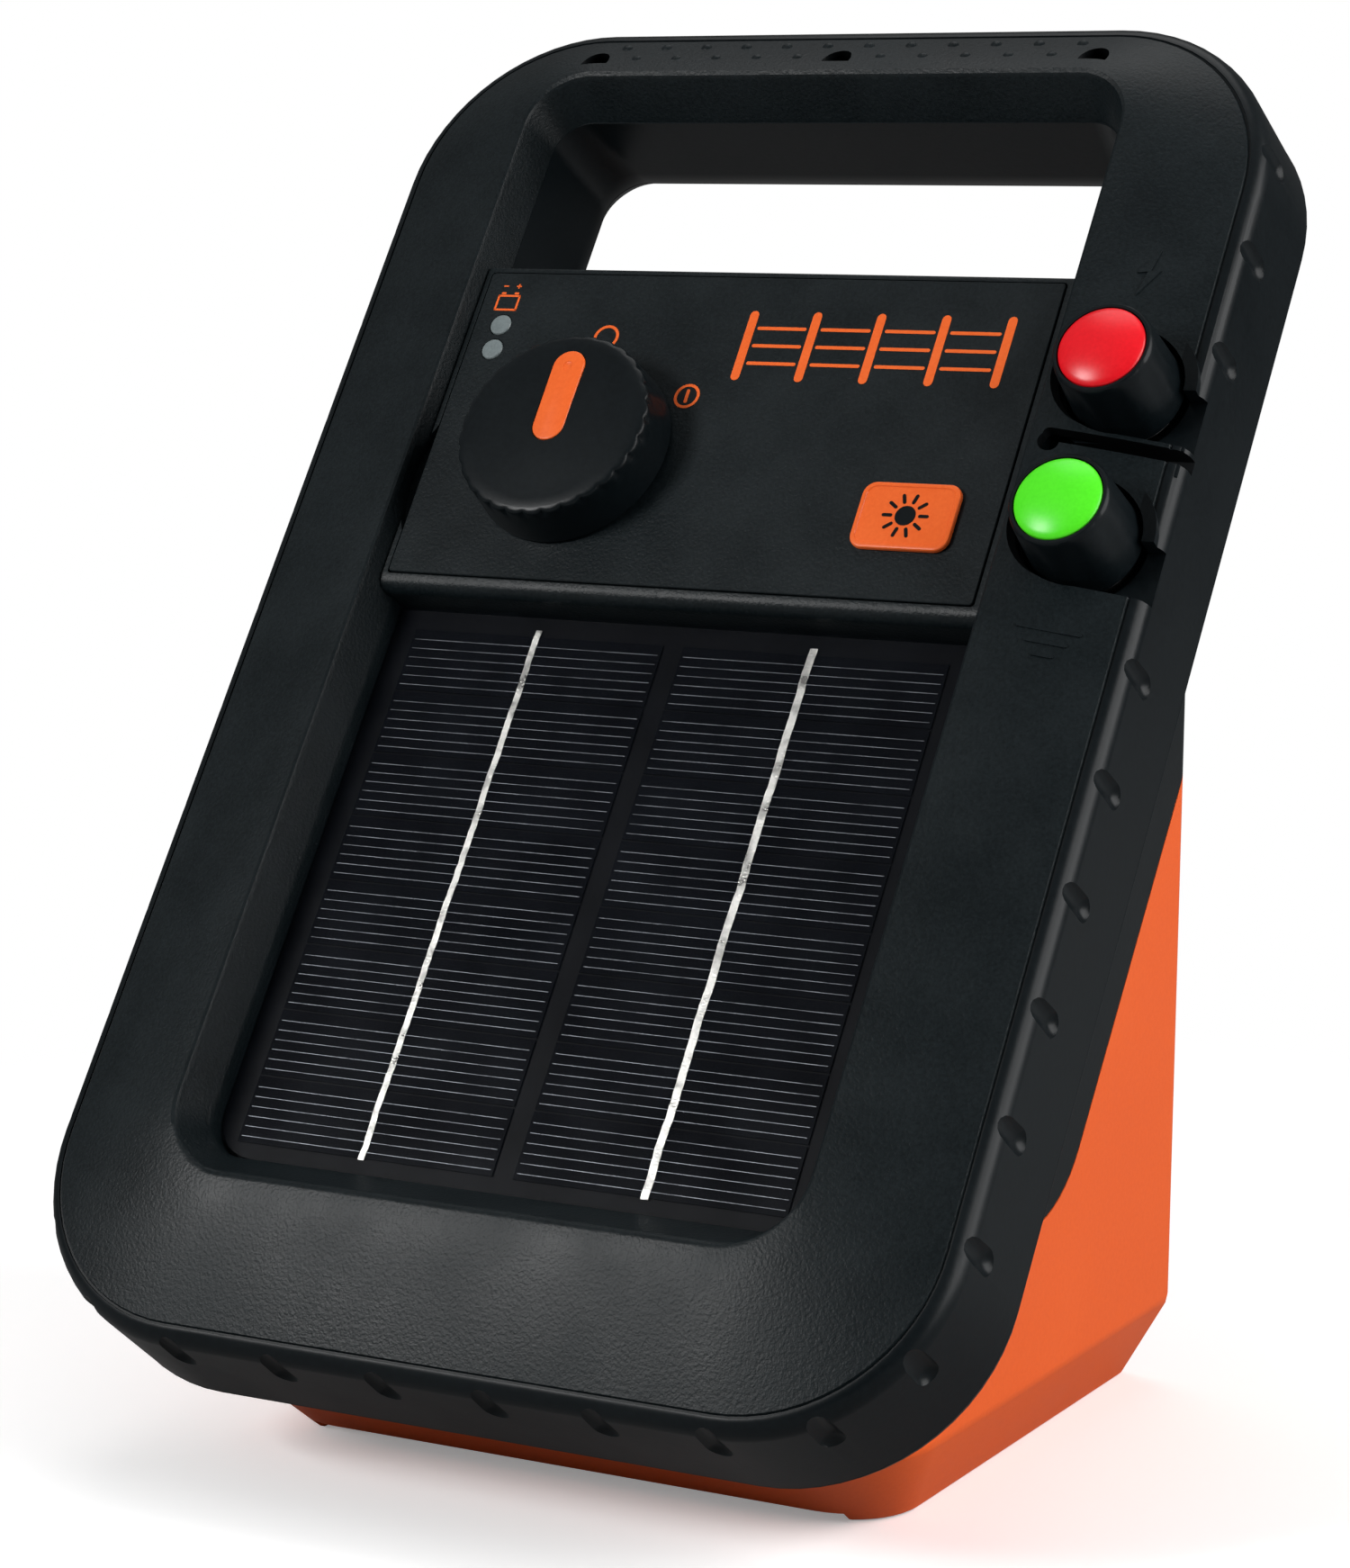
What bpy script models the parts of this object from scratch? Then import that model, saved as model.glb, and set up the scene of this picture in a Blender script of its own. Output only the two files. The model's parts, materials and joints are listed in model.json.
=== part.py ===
"""Solar electric-fence energizer with a carry handle, modelled in Blender 4.5.

Face frame: u to the viewer's right, v up the sloping face, n out of the face.  The empty
face_frame carries it, so front pieces are drawn flat and lean back with it.  Units: metres
in Blender; the numbers below are millimetres and are scaled once, by MM.
"""

import math

import bmesh
import bpy
from mathutils import Matrix, Vector

MM = 0.001

# Placement of the face
LEAN_DEG = 35.7  # the face leans back this far from vertical
FACE_SHIFT_Y = 124.0  # brings the bounding box's middle over the origin
CORNER_STEPS = 6  # segments in each rounded corner
ROUND_SIDES = 20

# Frame outline (front bezel and rear shell)
FRAME_HALF_WIDTH = 95.0
FRAME_LOW = 42.0
FRAME_HIGH = 334.5
FRAME_CORNER = 38.0
NOTCH_PITCH = 22.4  # grip notches round the frame's edge
NOTCH_HALF_WIDTH = 2.7
NOTCH_DEPTH = 1.1
PARTING_N = -29.0  # plane where bezel and rear shell meet
BACK_N = -36.0  # outer face of the rear shell's back plate
WALL = 2.5
GAP = 0.3  # running gap between touching pieces

# Window in the bezel: handle opening, control panel and solar recess, one above the other
WINDOW_HALF_WIDTH = 66.3
WINDOW_LOW = 73.3
WINDOW_HIGH = 318.0
OPENING_LOW = 273.4
OPENING_HIGH = 312.4
OPENING_HALF_WIDTH = 63.4
OPENING_TAPER = 2.4  # the side walls close in by this much towards the parting plane
GRIP_ROUND = 12.0  # radius that rounds the grip behind the hand opening
GRIP_START_N = -24.0

# Control panel
PANEL_LOW = 198.4
FASCIA_SIZE = (126.6, 69.8)
FASCIA_CENTRE_V = 236.8
FASCIA_TOP_N = -0.4
FASCIA_THICK = 2.0
KNOB_CENTRE = (-30.3, 230.5)
KNOB_RADIUS = 20.8
KNOB_TOP_N = 11.2
POINTER_HALF = 3.4
POINTER_RANGE = (-4.2, 15.9)
LED_U = -57.2
LED_V = (259.3, 253.5)
LED_RADIUS = 2.3
BADGE_CENTRE = (45.2, 219.2)
BADGE_SIZE = (20.4, 14.2)

# Solar recess
SOLAR_FLOOR_N = -11.0
SOLAR_TOP_N = -7.4
SOLAR_HALF_WIDTH = 63.0
SOLAR_RANGE_V = (80.5, 197.9)
CELL_RANGE_V = (83.4, 194.4)
CELL_COLUMNS = ((-58.0, -2.2), (2.2, 58.0))
RIBBON_U = (-30.1, 29.9)
RIBBON_WIDTH = 1.8

# Fence terminals
TERMINALS = {"live": (79.8, 250.8), "earth": (79.8, 218.6)}
TERMINAL_RECESS_RADIUS = 11.6
TERMINAL_FLOOR_N = -10.0
STUD_RADIUS = 3.0
SLOT_V = 237.1

# Body behind the frame: lofted between three level outlines
BODY_BACK_Y = 191.0
BODY_LEVELS = (  # height, half width, front Y, front corner radius
    (0.0, 65.0, 80.4, 13.2),
    (17.0, 75.0, 60.0, 21.0),
    (205.0, 77.7, 60.0, 21.0),
)
BODY_BACK_CORNER = 4.0
CHANNEL_HALF_WIDTH = 57.5  # the base stands on a rail at each side of this channel
CHANNEL_DEPTH = 2.2
LEDGE_Z = 193.0
SPLIT_N = -80.5  # plane where the rear shell's box and the base meet
SPLIT_LOW_V = 104.0
SPLIT_CORNER = 26.0

# Fasteners
HANDLE_SCREWS = ((-55.8, 323.4), (0.0, 323.4), (55.8, 323.4))
CASE_SCREWS = ((-84.0, 92.0), (84.0, 92.0), (-84.0, 286.0), (84.0, 286.0))
BOARD_SCREWS = ((-48.0, 209.0), (48.0, 209.0), (-48.0, 262.0), (44.0, 262.0))
BASE_SCREW_X = 62.0
BASE_SCREW_Z = 114.5
SCREW_SHANK = 1.4
SCREW_HOLE = 1.7

# Electronics and battery
BOARD_N = (-25.6, -24.0)
BATTERY_SIZE = (70.0, 47.0, 101.0)
BATTERY_BACK_Y = 187.6
BATTERY_FLOOR_Z = 4.9

LEAN = math.radians(LEAN_DEG)


def clear_scene():
    for old in list(bpy.data.objects):
        bpy.data.objects.remove(old, do_unlink=True)


def make_collection(name):
    collection = bpy.data.collections.new(name)
    bpy.context.scene.collection.children.link(collection)
    return collection


def make_material(name, colour, roughness, metallic=0.0):
    material = bpy.data.materials.new(name)
    material.use_nodes = True
    shader = material.node_tree.nodes["Principled BSDF"]
    shader.inputs["Base Color"].default_value = (*colour, 1.0)
    shader.inputs["Roughness"].default_value = roughness
    shader.inputs["Metallic"].default_value = metallic
    material.diffuse_color = (*colour, 1.0)
    return material


def make_face_frame(collection):
    frame = bpy.data.objects.new("face_frame", None)
    frame.location = (0.0, -FACE_SHIFT_Y * MM, 0.0)
    frame.rotation_euler = (math.pi / 2 - LEAN, 0.0, 0.0)
    collection.objects.link(frame)
    return frame


def make_ground_frame(collection):
    frame = bpy.data.objects.new("ground_frame", None)
    frame.location = (0.0, -FACE_SHIFT_Y * MM, 0.0)
    collection.objects.link(frame)
    return frame


clear_scene()
PARTS = make_collection("fence_energizer")
CUTTERS = make_collection("cutters")
FACE = make_face_frame(PARTS)
GROUND = make_ground_frame(PARTS)

BLACK = make_material("black_plastic", (0.030, 0.042, 0.048), 0.5)
ORANGE = make_material("orange_plastic", (0.80, 0.13, 0.03), 0.4)
ACCENT = make_material("accent_orange", (0.95, 0.16, 0.03), 0.4)
LIVE_RED = make_material("live_red", (0.75, 0.012, 0.015), 0.3)
EARTH_GREEN = make_material("earth_green", (0.12, 0.85, 0.04), 0.3)
LENS_GREY = make_material("lens_grey", (0.22, 0.27, 0.28), 0.3)
CELL_BLACK = make_material("solar_cell", (0.004, 0.006, 0.014), 0.25)
SHEET_BLACK = make_material("backsheet", (0.012, 0.015, 0.02), 0.5)
CLEAR = make_material("clear_cover", (0.6, 0.65, 0.7), 0.1)
TIN = make_material("tinned_copper", (0.75, 0.75, 0.72), 0.35, 1.0)
STEEL = make_material("steel", (0.55, 0.55, 0.56), 0.3, 1.0)
RUBBER = make_material("seal_rubber", (0.02, 0.02, 0.02), 0.8)
BOARD_GREEN = make_material("circuit_board", (0.02, 0.16, 0.06), 0.5)
CORE_GREY = make_material("ferrite", (0.07, 0.07, 0.075), 0.6)
COPPER = make_material("copper_winding", (0.7, 0.28, 0.12), 0.4, 1.0)
CAN_BLUE = make_material("capacitor_can", (0.03, 0.08, 0.3), 0.35)
CASE_GREY = make_material("battery_case", (0.06, 0.06, 0.065), 0.55)
FOAM = make_material("foam", (0.1, 0.1, 0.1), 0.95)


def add_object(name, bm, material, parent=None, at=(0.0, 0.0, 0.0), collection=PARTS):
    """Closes off a bmesh drawn in millimetres as one object placed at a point of its parent."""
    bmesh.ops.recalc_face_normals(bm, faces=bm.faces)
    bmesh.ops.scale(bm, vec=(MM, MM, MM), verts=bm.verts)
    mesh = bpy.data.meshes.new(name)
    bm.to_mesh(mesh)
    bm.free()
    mesh.shade_smooth()
    mesh.set_sharp_from_angle(angle=math.radians(32))
    obj = bpy.data.objects.new(name, mesh)
    obj.location = Vector(at) * MM
    obj.parent = parent
    if material:
        mesh.materials.append(material)
    collection.objects.link(obj)
    if collection is CUTTERS:
        obj.hide_render = True
        obj.display_type = "WIRE"
    return obj


def boolean(obj, other, operation):
    modifier = obj.modifiers.new(other.name, "BOOLEAN")
    modifier.operation = operation
    modifier.object = other
    return modifier


def cut(obj, *cutters):
    for cutter in cutters:
        boolean(obj, cutter, "DIFFERENCE")


def join(obj, *additions):
    for addition in additions:
        boolean(obj, addition, "UNION")


def rounded_outline(half_width, low, high, low_radius, high_radius, steps=CORNER_STEPS):
    """Points of a rounded rectangle, anticlockwise, the same count for any size."""
    corners = (
        (half_width - high_radius, high - high_radius, high_radius, 0),
        (-half_width + high_radius, high - high_radius, high_radius, 90),
        (-half_width + low_radius, low + low_radius, low_radius, 180),
        (half_width - low_radius, low + low_radius, low_radius, 270),
    )
    points = []
    for x, y, radius, start in corners:
        for step in range(steps + 1):
            angle = math.radians(start + 90 * step / steps)
            points.append((x + radius * math.cos(angle), y + radius * math.sin(angle)))
    return points


def loft(loops, closed=False):
    """Skins loops of (x, y, z) points; a closed loft joins the last loop to the first."""
    bm = bmesh.new()
    rings = [[bm.verts.new(point) for point in loop] for loop in loops]
    pairs = list(zip(rings, rings[1:]))
    if closed:
        pairs.append((rings[-1], rings[0]))
    for lower, upper in pairs:
        for i, vertex in enumerate(lower):
            j = (i + 1) % len(lower)
            bm.faces.new((vertex, lower[j], upper[j], upper[i]))
    if not closed:
        bm.faces.new(rings[0])
        bm.faces.new(rings[-1])
    return bm


def level(outline, height):
    return [(x, y, height) for x, y in outline]


def slab(outline, low, high):
    return loft([level(outline, low), level(outline, high)])


def side_prism(profile, half_width):
    """A (v, n) or (y, z) profile drawn out along x, the same both ways."""
    return loft([[(x, a, b) for a, b in profile] for x in (-half_width, half_width)])


def box(low, high):
    return boxes([(low, high)])


def boxes(corners):
    """Several boxes that don't touch, in one mesh."""
    bm = bmesh.new()
    for low, high in corners:
        size = [b - a for a, b in zip(low, high)]
        middle = [(a + b) / 2 for a, b in zip(low, high)]
        bmesh.ops.create_cube(bm, size=1.0, matrix=Matrix.Translation(middle) @ Matrix.Diagonal((*size, 1)))
    return bm


def cylinder(x, y, low, high, radius, top_radius=None, sides=ROUND_SIDES):
    bm = bmesh.new()
    bmesh.ops.create_cone(
        bm,
        cap_ends=True,
        segments=sides,
        radius1=radius,
        radius2=radius if top_radius is None else top_radius,
        depth=high - low,
        matrix=Matrix.Translation((x, y, (low + high) / 2)),
    )
    return bm


def turned(name, profile, material, parent, at, sides=ROUND_SIDES):
    """A profile of (radius, height) points, top to bottom, turned about its own z axis."""
    bm = bmesh.new()
    points = [bm.verts.new((radius * MM, 0.0, height * MM)) for radius, height in profile]
    for a, b in zip(points, points[1:]):
        bm.edges.new((a, b))
    mesh = bpy.data.meshes.new(name)
    bm.to_mesh(mesh)
    bm.free()
    mesh.materials.append(material)
    obj = bpy.data.objects.new(name, mesh)
    obj.location = Vector(at) * MM
    obj.parent = parent
    PARTS.objects.link(obj)
    screw = obj.modifiers.new("turn", "SCREW")
    screw.steps = sides
    screw.render_steps = sides
    screw.use_merge_vertices = True
    screw.merge_threshold = 0.00001
    screw.use_smooth_shade = True
    return obj


def wire(name, points, radius, material, parent):
    """A lead run through its points as one smooth tube with filled ends."""
    curve = bpy.data.curves.new(name, "CURVE")
    curve.dimensions = "3D"
    curve.bevel_depth = radius * MM
    curve.bevel_resolution = 2
    curve.use_fill_caps = True
    spline = curve.splines.new("POLY")
    path = smooth_path([Vector(point) for point in points])
    spline.points.add(len(path) - 1)
    for spot, point in zip(spline.points, path):
        spot.co = (*(point * MM), 1.0)
    curve.materials.append(material)
    obj = bpy.data.objects.new(name, curve)
    obj.parent = parent
    PARTS.objects.link(obj)
    return obj


def smooth_path(points, per_span=4):
    """Catmull-Rom curve through the points."""
    ends = [points[0] * 2 - points[1], *points, points[-1] * 2 - points[-2]]
    path = []
    for a, b, c, d in zip(ends, ends[1:], ends[2:], ends[3:]):
        for step in range(per_span):
            t = step / per_span
            bend = (a * 2 - b * 5 + c * 4 - d) * t * t + (b * 3 - a - c * 3 + d) * t * t * t
            path.append((b * 2 + (c - a) * t + bend) / 2)
    path.append(points[-1])
    return path


def face_cutter(name, bm):
    return add_object(name, bm, None, FACE, collection=CUTTERS)


def ground_cutter(name, bm):
    return add_object(name, bm, None, GROUND, collection=CUTTERS)


def frame_outline(inset, radius=None):
    """The frame's outline moved inwards by an inset."""
    corner = FRAME_CORNER - inset if radius is None else radius
    return rounded_outline(FRAME_HALF_WIDTH - inset, FRAME_LOW + inset, FRAME_HIGH - inset, corner, corner)


def window_outline(inset, low_radius, high_radius):
    low, high = WINDOW_LOW + inset * 2.2, WINDOW_HIGH - inset * 1.9
    return rounded_outline(WINDOW_HALF_WIDTH - inset, low, high, low_radius, high_radius)


def grip_flare(n):
    """How far the grip's rounding has opened the hand opening out at a depth n."""
    turn = math.asin(min(1.0, max(0.0, (GRIP_START_N - n) / GRIP_ROUND)))
    return GRIP_ROUND * (1.0 - math.cos(turn))


def opening_outline(grow, n, drop=None):
    """The hand opening's outline at a depth n, moved out by grow; drop moves its lower edge instead."""
    taper = OPENING_TAPER * min(1.0, max(0.0, (-6.2 - n) / (-6.2 - PARTING_N)))
    side = grow + grip_flare(n)
    low = OPENING_LOW - (grow if drop is None else drop)
    half_width = OPENING_HALF_WIDTH + side - taper
    return rounded_outline(half_width, low, OPENING_HIGH + side, 1.5 + max(grow, 0.0), 7.5 + side)


def front_bezel():
    outside = [
        level(frame_outline(-0.8), PARTING_N),
        level(frame_outline(0.0), -7.6),
        level(frame_outline(0.5), -5.6),
        level(frame_outline(1.7), -4.3),
        level(frame_outline(3.5), -3.6),
    ]
    crown = [
        level(window_outline(0.0, 15.0, 12.0), 3.0),
        level(window_outline(0.4, 14.0, 11.5), 2.5),
        level(window_outline(2.9, 9.0, 7.5), -6.5),
        level(window_outline(2.9, 9.0, 7.5), -13.6),
    ]
    inside = [
        level(window_outline(0.6, 12.0, 10.0), -13.6),
        level(window_outline(-2.0, 17.0, 13.0), 0.2),
        level(frame_outline(5.5), -6.2),
        level(frame_outline(2.6), -8.8),
        level(frame_outline(1.8), PARTING_N),
    ]
    bezel = add_object("front_bezel", loft(outside + crown + inside, closed=True), BLACK, FACE)
    solar_floor = rounded_outline(64.4, 78.6, PANEL_LOW + 1.5, 10.0, 1.0)
    panel_profile = [
        (PANEL_LOW, -13.0),
        (PANEL_LOW, -3.2),
        (PANEL_LOW + 0.9, -1.4),
        (PANEL_LOW + 2.6, -0.7),
        (OPENING_LOW - 0.6, -0.7),
        (OPENING_LOW, -1.3),
        (OPENING_LOW, -8.0),
        (OPENING_LOW - WALL, -8.0),
        (OPENING_LOW - WALL, -5.5),
        (PANEL_LOW + WALL, -5.5),
        (PANEL_LOW + WALL, -13.0),
    ]
    depths = (-6.2, GRIP_START_N, -26.5, PARTING_N)
    opening_wall = [level(opening_outline(0.0, n), n) for n in depths]
    opening_wall += [level(opening_outline(WALL, n), n) for n in reversed(depths)]
    join(
        bezel,
        face_cutter("solar_floor", slab(solar_floor, -13.0, SOLAR_FLOOR_N)),
        face_cutter("control_panel", side_prism(panel_profile, 64.6)),
        face_cutter("opening_wall", loft(opening_wall, closed=True)),
        face_cutter("slot_housing", box((66.0, SLOT_V - 4.0, -12.0), (94.0, SLOT_V + 4.0, -4.5))),
    )
    for name, (u, v) in TERMINALS.items():
        join(bezel, face_cutter(name + "_cup", cylinder(u, v, -12.5, -3.0, 14.1)))
    for i, (u, v) in enumerate(HANDLE_SCREWS):
        join(bezel, face_cutter(f"handle_boss_{i}", cylinder(u, v, -20.0, -1.5, 4.7, sides=16)))
    for i, (u, v) in enumerate(CASE_SCREWS):
        join(bezel, face_cutter(f"case_boss_{i}", cylinder(u, v, -29.7, -3.5, 4.2, sides=16)))
    for i, (u, v) in enumerate(BOARD_SCREWS):
        join(bezel, face_cutter(f"board_boss_{i}", cylinder(u, v, BOARD_N[1] + GAP, -4.5, 3.2, sides=12)))
    cut_bezel(bezel)
    return bezel


def edge_notches():
    """Grip notches along both sides and the bottom edge; the wire ways interrupt the right side."""
    half = NOTCH_HALF_WIDTH
    inner = FRAME_HALF_WIDTH - NOTCH_DEPTH
    found = []
    for k in range(10):
        v = 82.0 + NOTCH_PITCH * k
        found.append(((-inner - 6.0, v - half, -15.5), (-inner, v + half, 0.0)))
        if k not in (6, 7):
            found.append(((inner, v - half, -15.5), (inner + 6.0, v + half, 0.0)))
    for k in (-2.5, -1.5, -0.5, 0.5, 1.5, 2.5):
        u = NOTCH_PITCH * k
        found.append(((u - half, FRAME_LOW - 6.0, -15.5), (u + half, FRAME_LOW + NOTCH_DEPTH, 0.0)))
    return boxes(found)


def cut_bezel(bezel):
    cut(bezel, face_cutter("edge_notches", edge_notches()))
    width, height = FASCIA_SIZE
    pocket = rounded_outline(
        width / 2 + GAP, FASCIA_CENTRE_V - height / 2 - GAP, FASCIA_CENTRE_V + height / 2 + GAP, 0.8, 0.8, 2
    )
    cut(
        bezel,
        face_cutter("fascia_pocket", slab(pocket, FASCIA_TOP_N - FASCIA_THICK - GAP, 2.0)),
        face_cutter("shaft_hole", cylinder(*KNOB_CENTRE, -8.0, 0.0, 4.8)),
        face_cutter("solar_lead_hole", cylinder(0.0, 190.0, -15.0, -9.0, 3.0, sides=12)),
        face_cutter("wire_slot", box((69.5, SLOT_V - 1.2, -8.5), (99.0, SLOT_V + 1.2, 5.0))),
        face_cutter("wire_slot_end", cylinder(70.4, SLOT_V - 1.3, -8.5, 5.0, 2.2, sides=16)),
    )
    for i, v in enumerate(LED_V):
        cut(bezel, face_cutter(f"led_hole_{i}", cylinder(LED_U, v, -8.0, 0.0, 1.9, sides=12)))
    for name, (u, v) in TERMINALS.items():
        cut(
            bezel,
            face_cutter(
                name + "_recess", cylinder(u, v, TERMINAL_FLOOR_N, 6.0, TERMINAL_RECESS_RADIUS, sides=32)
            ),
            face_cutter(name + "_wire_way", box((u, v - 11.45, -7.2), (99.0, v - 0.2, 6.0))),
            face_cutter(name + "_stud_hole", cylinder(u, v, -14.0, -8.0, STUD_RADIUS + 0.4)),
        )
    for i, (u, v) in enumerate(HANDLE_SCREWS):
        cut(
            bezel,
            face_cutter(f"handle_head_hole_{i}", cylinder(u, v, -14.0, 4.0, 2.75, sides=16)),
            face_cutter(f"handle_shank_hole_{i}", cylinder(u, v, -21.0, -13.0, SCREW_HOLE, sides=12)),
        )
    for i, (u, v) in enumerate(CASE_SCREWS):
        cut(bezel, face_cutter(f"case_hole_{i}", cylinder(u, v, -31.0, -11.0, SCREW_HOLE, sides=12)))
    for i, (u, v) in enumerate(BOARD_SCREWS):
        cut(bezel, face_cutter(f"board_hole_{i}", cylinder(u, v, -26.0, -13.0, SCREW_HOLE, sides=12)))


def body_outline(half_width, front, radius, inset=0.0):
    return rounded_outline(
        half_width - inset, front + inset, BODY_BACK_Y - inset, radius - inset, BODY_BACK_CORNER - inset / 2
    )


def body_loft(inset, floor):
    """The body's outer form, or its inside when inset, between level outlines."""
    loops = []
    for height, half_width, front, radius in BODY_LEVELS:
        loops.append(level(body_outline(half_width, front, radius, inset), max(height, floor)))
    return loft(loops)


def split_path(offset):
    """(v, n) points of the line where rear shell and base part, moved back by an offset."""
    centre_v = SPLIT_LOW_V + SPLIT_CORNER
    centre_n = SPLIT_N + SPLIT_CORNER
    radius = SPLIT_CORNER + offset
    path = []
    for step in range(CORNER_STEPS + 1):
        angle = math.radians(180 + 90 * step / CORNER_STEPS)
        path.append((centre_v + radius * math.cos(angle), centre_n + radius * math.sin(angle)))
    return path


def level_line_v(n):
    """v of the point at the ledge's height for a depth n."""
    return (LEDGE_Z - n * math.sin(LEAN)) / math.cos(LEAN)


def box_profile(offset, front_n, ledge_drop):
    """Side profile of the rear shell's box, open to the front at front_n."""
    path = split_path(-offset)
    back_n = path[-1][1]
    shift = ledge_drop / math.cos(LEAN)
    ledge = [(level_line_v(n) - shift, n) for n in (back_n, front_n)]
    return [(path[0][0], front_n), *path, *ledge]


def rear_shell():
    outside = [
        level(frame_outline(0.1), PARTING_N - GAP),
        level(frame_outline(0.4), -31.5),
        level(frame_outline(2.6), -34.7),
        level(frame_outline(6.0), BACK_N),
        level(opening_outline(0.0, BACK_N + 0.05, 2.6), BACK_N),
        level(opening_outline(0.0, -35.2, 1.6), -35.2),
        level(opening_outline(0.0, -33.6, 0.4), -33.6),
        level(opening_outline(0.0, -31.6), -31.6),
        level(opening_outline(0.0, PARTING_N - GAP), PARTING_N - GAP),
    ]
    inside = [
        level(opening_outline(WALL, PARTING_N - GAP), PARTING_N - GAP),
        level(opening_outline(WALL, -31.6), -31.6),
        level(opening_outline(WALL + 0.6, BACK_N + WALL), BACK_N + WALL),
        level(frame_outline(7.0), BACK_N + WALL),
        level(frame_outline(4.6), -32.6),
        level(frame_outline(2.7), PARTING_N - GAP),
    ]
    shell = add_object("rear_shell", loft(outside + inside, closed=True), BLACK, FACE)
    for i, (u, v) in enumerate(HANDLE_SCREWS):
        join(shell, face_cutter(f"handle_post_{i}", cylinder(u, v, -34.5, -20.0 - GAP, 4.2, sides=16)))
    for i, (u, v) in enumerate(CASE_SCREWS):
        join(shell, face_cutter(f"case_post_{i}", cylinder(u, v, -35.0, -30.0, 4.5, sides=16)))
    outer_box = ground_cutter("rear_box", body_loft(0.0, 0.0))
    outer_side = side_prism(box_profile(0.0, -34.6, 0.0), 90.0)
    boolean(outer_box, face_cutter("rear_box_profile", outer_side), "INTERSECT")
    inner_box = ground_cutter("rear_box_inside", body_loft(WALL, 0.0))
    inner_side = side_prism(box_profile(WALL, -30.2, WALL), 90.0)
    boolean(inner_box, face_cutter("rear_box_inside_profile", inner_side), "INTERSECT")
    join(shell, outer_box)
    cut(shell, inner_box)
    for side in (-1, 1):
        x = side * BASE_SCREW_X
        post = box((x - 5.0, 177.0, BASE_SCREW_Z - 5.5), (x + 5.0, 185.7, BASE_SCREW_Z + 5.5))
        join(shell, ground_cutter(f"base_screw_post_{side}", post))
        hole = along_y(x, BASE_SCREW_Z, 174.0, 187.0, SCREW_HOLE)
        cut(shell, ground_cutter(f"base_post_hole_{side}", hole))
    half_x = BATTERY_SIZE[0] / 2 + 3.0
    front_y = BATTERY_BACK_Y - BATTERY_SIZE[1] - 3.0
    window_top = BATTERY_FLOOR_Z + BATTERY_SIZE[2] + 14.0
    window = box((-half_x, front_y, 20.0), (half_x, BODY_BACK_Y - WALL - 0.4, window_top))
    cut(shell, ground_cutter("battery_window", window))
    for i, (u, v) in enumerate(HANDLE_SCREWS):
        cut(shell, face_cutter(f"handle_post_hole_{i}", cylinder(u, v, -32.0, -19.0, SCREW_HOLE, sides=12)))
    for i, (u, v) in enumerate(CASE_SCREWS):
        cut(
            shell,
            face_cutter(f"case_head_hole_{i}", cylinder(u, v, -38.0, -33.0, 3.3, sides=16)),
            face_cutter(f"case_shank_hole_{i}", cylinder(u, v, -34.0, -29.0, SCREW_HOLE, sides=12)),
        )
    return shell


def along_y(x, z, low, high, radius, sides=16):
    """A cylinder whose axis runs front to back."""
    bm = cylinder(0.0, 0.0, low, high, radius, sides=sides)
    turn = Matrix.Translation((x, 0.0, z)) @ Matrix.Rotation(-math.pi / 2, 4, "X")
    bmesh.ops.transform(bm, matrix=turn, verts=bm.verts)
    return bm


def base_housing():
    base = add_object("base_housing", body_loft(0.0, 0.0), ORANGE, GROUND)
    path = split_path(GAP)
    behind = [(330.0, path[-1][1]), (330.0, -260.0), (-60.0, -260.0), (-60.0, BACK_N - GAP)]
    profile = [(path[0][0], BACK_N - GAP), *path, *behind]
    boolean(base, face_cutter("base_profile", side_prism(profile, 90.0)), "INTERSECT")
    cut(base, ground_cutter("base_inside", body_loft(WALL, CHANNEL_DEPTH + WALL - 0.1)))
    channel = box((-CHANNEL_HALF_WIDTH, 60.0, -1.0), (CHANNEL_HALF_WIDTH, 200.0, CHANNEL_DEPTH))
    cut(base, ground_cutter("floor_channel", channel))
    rib_y = BATTERY_BACK_Y - BATTERY_SIZE[1] - 4.6
    join(base, ground_cutter("battery_rib", box((-36.0, rib_y - 2.5, 3.0), (36.0, rib_y, 40.0))))
    for side in (-1, 1):
        x = side * BASE_SCREW_X
        pad = box((x - 5.0, 186.0, BASE_SCREW_Z - 6.0), (x + 5.0, BODY_BACK_Y - 1.0, BASE_SCREW_Z + 4.0))
        join(base, ground_cutter(f"base_screw_pad_{side}", pad))
        cut(
            base,
            ground_cutter(f"base_head_hole_{side}", along_y(x, BASE_SCREW_Z, 188.4, 194.0, 3.3)),
            ground_cutter(f"base_shank_hole_{side}", along_y(x, BASE_SCREW_Z, 184.0, 190.0, SCREW_HOLE, 12)),
        )
    return base


def control_fascia():
    width, height = FASCIA_SIZE
    low, high = FASCIA_CENTRE_V - height / 2, FASCIA_CENTRE_V + height / 2
    outline = rounded_outline(width / 2, low, high, 0.8, 0.8, 2)
    plate = slab(outline, FASCIA_TOP_N - FASCIA_THICK, FASCIA_TOP_N)
    fascia = add_object("control_fascia", plate, BLACK, FACE)
    cut(fascia, face_cutter("fascia_shaft_hole", cylinder(*KNOB_CENTRE, -6.0, 4.0, 4.8)))
    for i, v in enumerate(LED_V):
        cut(fascia, face_cutter(f"fascia_led_hole_{i}", cylinder(LED_U, v, -6.0, 4.0, LED_RADIUS + GAP)))
    return fascia


def badge_plate():
    half_height = BADGE_SIZE[1] / 2
    outline = rounded_outline(BADGE_SIZE[0] / 2, -half_height, half_height, 2.8, 2.8, 4)
    place = (*BADGE_CENTRE, FASCIA_TOP_N + GAP)
    return add_object("badge_plate", slab(outline, 0.0, 1.0), ACCENT, FACE, place)


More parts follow.
